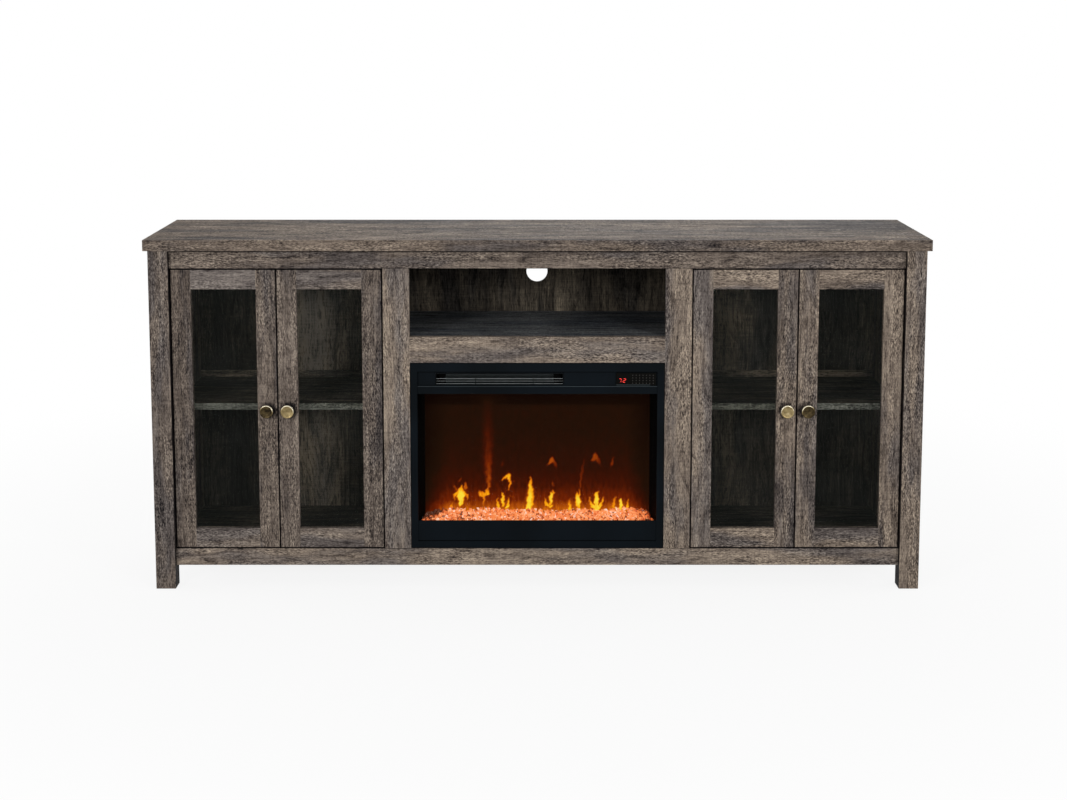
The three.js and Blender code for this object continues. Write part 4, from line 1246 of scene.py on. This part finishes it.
CRYSTAL_KINDS = 14
CRYSTAL_POINTS = 11
CRYSTAL_RADIUS = 0.0058
CRYSTAL_LEAST = 0.8  # share of the radius
CRYSTAL_SIZES = (0.7, 1.15)
CRYSTAL_PITCH = 0.0084
CRYSTAL_SCATTER = 0.3  # share of the pitch that a chip lies off its place
HEAP_RISE = 0.005  # from the front of the bed to its back
HEAP_SWELL = 0.0045
HEAP_WAVES = (37, 23, 40)  # rad/m
HEAP_FALL_SHARE = 0.22  # of the bed's half width, over which it falls away at its left end
UPPER_CHANCES = (0.3, 0.6)  # of a chip in the upper layer at the front, and what the back adds
DIM_END_SHARE = 0.16
DIM_END = 0.45
DARK_CORNER_SHARE = 0.26  # of the bed's half width, where no light reaches its back left corner
DARK_CORNER = 2
DARK_CHIP_SHARE = 0.06
DARK_CHIP = 0.5
CHIP_GLINT = 0.55
FACET_GLINT = 0.6
FACET_SHADE = 0.06
TRAY_HEIGHT = 0.011
TRAY_NARROWING = 0.0128  # at each end, from the front of the tray to its back


def crystal_kinds():
    """A few chips, each the hull of points scattered on a ball."""
    kinds = []
    for _ in range(CRYSTAL_KINDS):
        bm = bmesh.new()
        for _ in range(CRYSTAL_POINTS):
            way = Vector([draw.gauss(0, 1) for _ in range(3)]).normalized()
            bm.verts.new(way * CRYSTAL_RADIUS * draw.uniform(CRYSTAL_LEAST, 1.0))
        hull = bmesh.ops.convex_hull(bm, input=bm.verts)
        spare = set(verts_in(hull["geom_interior"] + hull["geom_unused"]))
        bmesh.ops.delete(bm, geom=list(spare), context="VERTS")
        bmesh.ops.recalc_face_normals(bm, faces=bm.faces)
        kinds.append(mesh_of("chip", bm))
    return kinds


def ember_bed():
    """Clear chips heaped on a tray, about two deep, their painted light dimmer at both ends."""
    low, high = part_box("ember_bed")
    tray_top = low.z + TRAY_HEIGHT
    depth = high.y - low.y
    narrow = TRAY_NARROWING
    outline = [(low.x, low.y), (high.x, low.y), (high.x - narrow, high.y), (low.x + narrow, high.y)]
    bm = stick(outline, Z, (low.z, tray_top), 0)
    glints = [0.0] * len(bm.faces)
    kinds = crystal_kinds()
    rows = round(depth / CRYSTAL_PITCH)
    scatter = CRYSTAL_SCATTER
    for layer, back in [(layer, (row + 0.5) / rows) for layer in (0, 1) for row in range(rows)]:
        half = (high.x - low.x) / 2 - narrow * back - CRYSTAL_RADIUS * CRYSTAL_LEAST
        columns = round(2 * half / CRYSTAL_PITCH)
        for column in range(columns):
            aside = (2 * column + 1) / columns - 1
            fall = min(1, (aside + 1) / HEAP_FALL_SHARE)
            if layer and draw.random() > UPPER_CHANCES[0] + UPPER_CHANCES[1] * back * fall:
                continue
            x = aside * half + draw.uniform(-scatter, scatter) * CRYSTAL_PITCH
            y = low.y + back * depth + draw.uniform(-scatter, scatter) * CRYSTAL_PITCH
            wave = math.sin(x * HEAP_WAVES[0]) * math.sin(x * HEAP_WAVES[1] + y * HEAP_WAVES[2] + 1)
            heap = (HEAP_RISE * back + wave * HEAP_SWELL * back) * fall + HEAP_SWELL
            centre = Vector((
                min(max(x, -half), half),
                min(max(y, low.y + CRYSTAL_RADIUS), high.y - CRYSTAL_RADIUS),
                tray_top + CRYSTAL_RADIUS / 2 + heap * (1 + layer) / 2,
            ))
            first = len(bm.verts)
            chip = draw.choice(kinds)
            bm.from_mesh(chip)
            bm.verts.ensure_lookup_table()
            axis = Vector((1, draw.random(), draw.random()))
            turn = Matrix.Rotation(draw.uniform(0, math.tau), 4, axis)
            size = Matrix.Diagonal([draw.uniform(*CRYSTAL_SIZES) for _ in range(3)] + [1])
            place = Matrix.Translation(centre) @ turn @ size
            bmesh.ops.transform(bm, matrix=place, verts=bm.verts[first:])
            # Painted light: how brightly each chip and each facet glows, dimmer at the ends and darkest
            # at the back left corner
            dim = max(0, abs(aside) - 1 + DIM_END_SHARE) / DIM_END_SHARE * DIM_END
            dark = max(0, back - (aside + 1) / DARK_CORNER_SHARE) * DARK_CORNER
            own = draw.random() * CHIP_GLINT - dim - dark
            own -= DARK_CHIP * (draw.random() < DARK_CHIP_SHARE)
            glints += [own + draw.random() * FACET_GLINT - FACET_SHADE for _ in chip.polygons]
    mesh = add_piece("ember_crystals", bm, "cabinet", "crystal", ["ember_bed"]).data
    write(mesh, "facet", glints, domain="FACE")


# Cabinet
# Painted shade on the top's underside, the legs' inner sides and the sides by the gaps, and a painted
# shadow on the apron under the top's overhang
carcass_board("top_panel", X, "wood", ("bold_wood", "calm_wood"), [(Z, -1, *CORNER_SHADE)])
for side, inward in zip(SIDES, (1, -1)):
    carcass_board(f"leg_front_{side}", Z, "wood", shaded_sides=[(X, inward, *CORNER_SHADE)])
    carcass_board(f"leg_rear_{side}", Z, "wood")
    carcass_board(f"side_panel_{side}", Z, "wood")
    carcass_board(f"stile_{side}", Z, "wood", shaded_sides=[(X, -inward, *GAP_SHADE)])
    carcass_board(f"divider_{side}", Z, "inner_wood")
    carcass_board(f"shelf_{side}", X, "inner_wood", ("inner_wood", "edging"))
    shelf_strip(side)
    shelf_pins(side)
carcass_board("apron_rail", X, "wood", shaded_sides=[(Z, -1, *GAP_SHADE), (Z, 1, *OVERHANG_SHADOW)])
carcass_board("bottom_rail", X, "wood", shaded_sides=[(Z, 1, *GAP_SHADE)])
carcass_board("mantel_rail", X, "wood", shaded_sides=[(Z, -1, *GAP_SHADE)])
carcass_board("bottom_panel", X, "inner_wood")
carcass_board("cubby_shelf", X, "inner_wood", ("shaded_cubby_wood",))
back_panel()
back_nails()

# Doors
for name in DOOR_TONES:
    door_frame(name)
    knob(name)
    paint(f"door_{name}_glass", "door_glass")
    for level in LEVELS:
        eased_node(f"door_{name}_hinge_cup_{level}", f"door_{name}", "hinge_steel", "plated")
        eased_node(f"hinge_arm_{name}_{level}", "cabinet", "hinge_steel", "plated")

# Insert
eased_node("insert_frame", "cabinet", "black_steel", "coated")
vent()
frame_lines()
heater()
eased_node("control_panel", "cabinet", "control", "gloss")
control_marks()
flames()
ember_bed()
eased_node("cord_gland", "cabinet", "gland_plastic", "moulded")
eased_node("blower_motor", "cabinet", "motor_metal", "can")
for node, key in (
    ("insert_glass", "fire_glass"),
    ("insert_housing", "box_steel"),
    ("flame_screen", "screen"),
    ("led_board", "circuit"),
    ("blower_wheel", "bright_metal"),
    ("flicker_rotor", "bright_metal"),
):
    paint(node, key)


# Stage


FLOOR_SIZE = 30
FLOOR_SHADE = (0.8, 0.8, 0.8, 1)
FLOOR_GLOW = 0.88  # share of white that the floor gives off by itself near the object
FLOOR_FADE = (1.1, 2.4)  # from here to here it turns all white
WORLD_AMBIENT = 0.5


def floor():
    """A plain white floor that keeps the object's shadow."""
    finish = Finish("stage_floor")
    lit = finish.node("BsdfDiffuse", None, {"Color": FLOOR_SHADE})
    white = finish.node("Emission", None, {"Color": WHITE, "Strength": 1.0})
    far = finish.node("VectorMath", {"operation": "LENGTH"}, {0: finish.place()}, "Value")
    glow = far.rise(*FLOOR_FADE) * (1 - FLOOR_GLOW) + FLOOR_GLOW
    mixed = finish.node("MixShader", None, {0: finish.seen() * glow, 1: lit, 2: white})
    bm = bmesh.new()
    bmesh.ops.create_grid(bm, x_segments=1, y_segments=1, size=FLOOR_SIZE / 2)
    plane = put("floor", mesh_of("floor", bm))
    plane.data.materials.append(finish.out(mixed))


def world():
    """White where it is seen, and a soft even light on everything else."""
    finish = Finish("studio", bpy.data.worlds)
    strength = finish.seen() * (1 - WORLD_AMBIENT) + WORLD_AMBIENT
    values = {"Color": WHITE, "Strength": strength}
    bpy.context.scene.world = finish.out(finish.node("Background", None, values), "World")


# Lamps: place, the point that each faces, its size and its power in watts
LAMPS = {
    "left": ((-1.9, -3.3, 1.45), (0, 0, 0.4), 0.6, 40.5),
    "right": ((1.9, -3.3, 1.45), (0, 0, 0.4), 0.6, 40.5),
    "overhead": ((0, -0.6, 3.2), (0, 0, 0.8), 2.2, 1.5),
    "behind": ((0.4, 3.2, 2.2), (0, 0, 0.4), 2.4, 38),
    "left_side": ((-3.4, 0.3, 1.4), (-0.8, 0.1, 0.4), 1.2, 22),
    "right_side": ((3.4, 0.3, 1.4), (0.8, 0.1, 0.4), 1.2, 22),
}


def lamps():
    for name, (place, target, size, power) in LAMPS.items():
        lamp = put(name, bpy.data.lights.new(name, "AREA"))
        lamp.data.size = size
        lamp.data.energy = power
        lamp.location = place
        lamp.rotation_euler = (Vector(target) - Vector(place)).to_track_quat("-Z", "Y").to_euler()


def camera():
    eye = put("camera", bpy.data.cameras.new("camera"))
    eye.data.lens = CAMERA_LENS
    eye.data.sensor_width = CAMERA_SENSOR
    eye.data.shift_x, eye.data.shift_y = CAMERA_SHIFT
    eye.data.clip_end = CAMERA_REACH
    eye.location = CAMERA_PLACE
    eye.rotation_euler = (math.radians(90 - CAMERA_PITCH), 0, 0)
    bpy.context.scene.camera = eye


floor()
world()
lamps()
camera()
bpy.context.scene.view_settings.view_transform = "Standard"
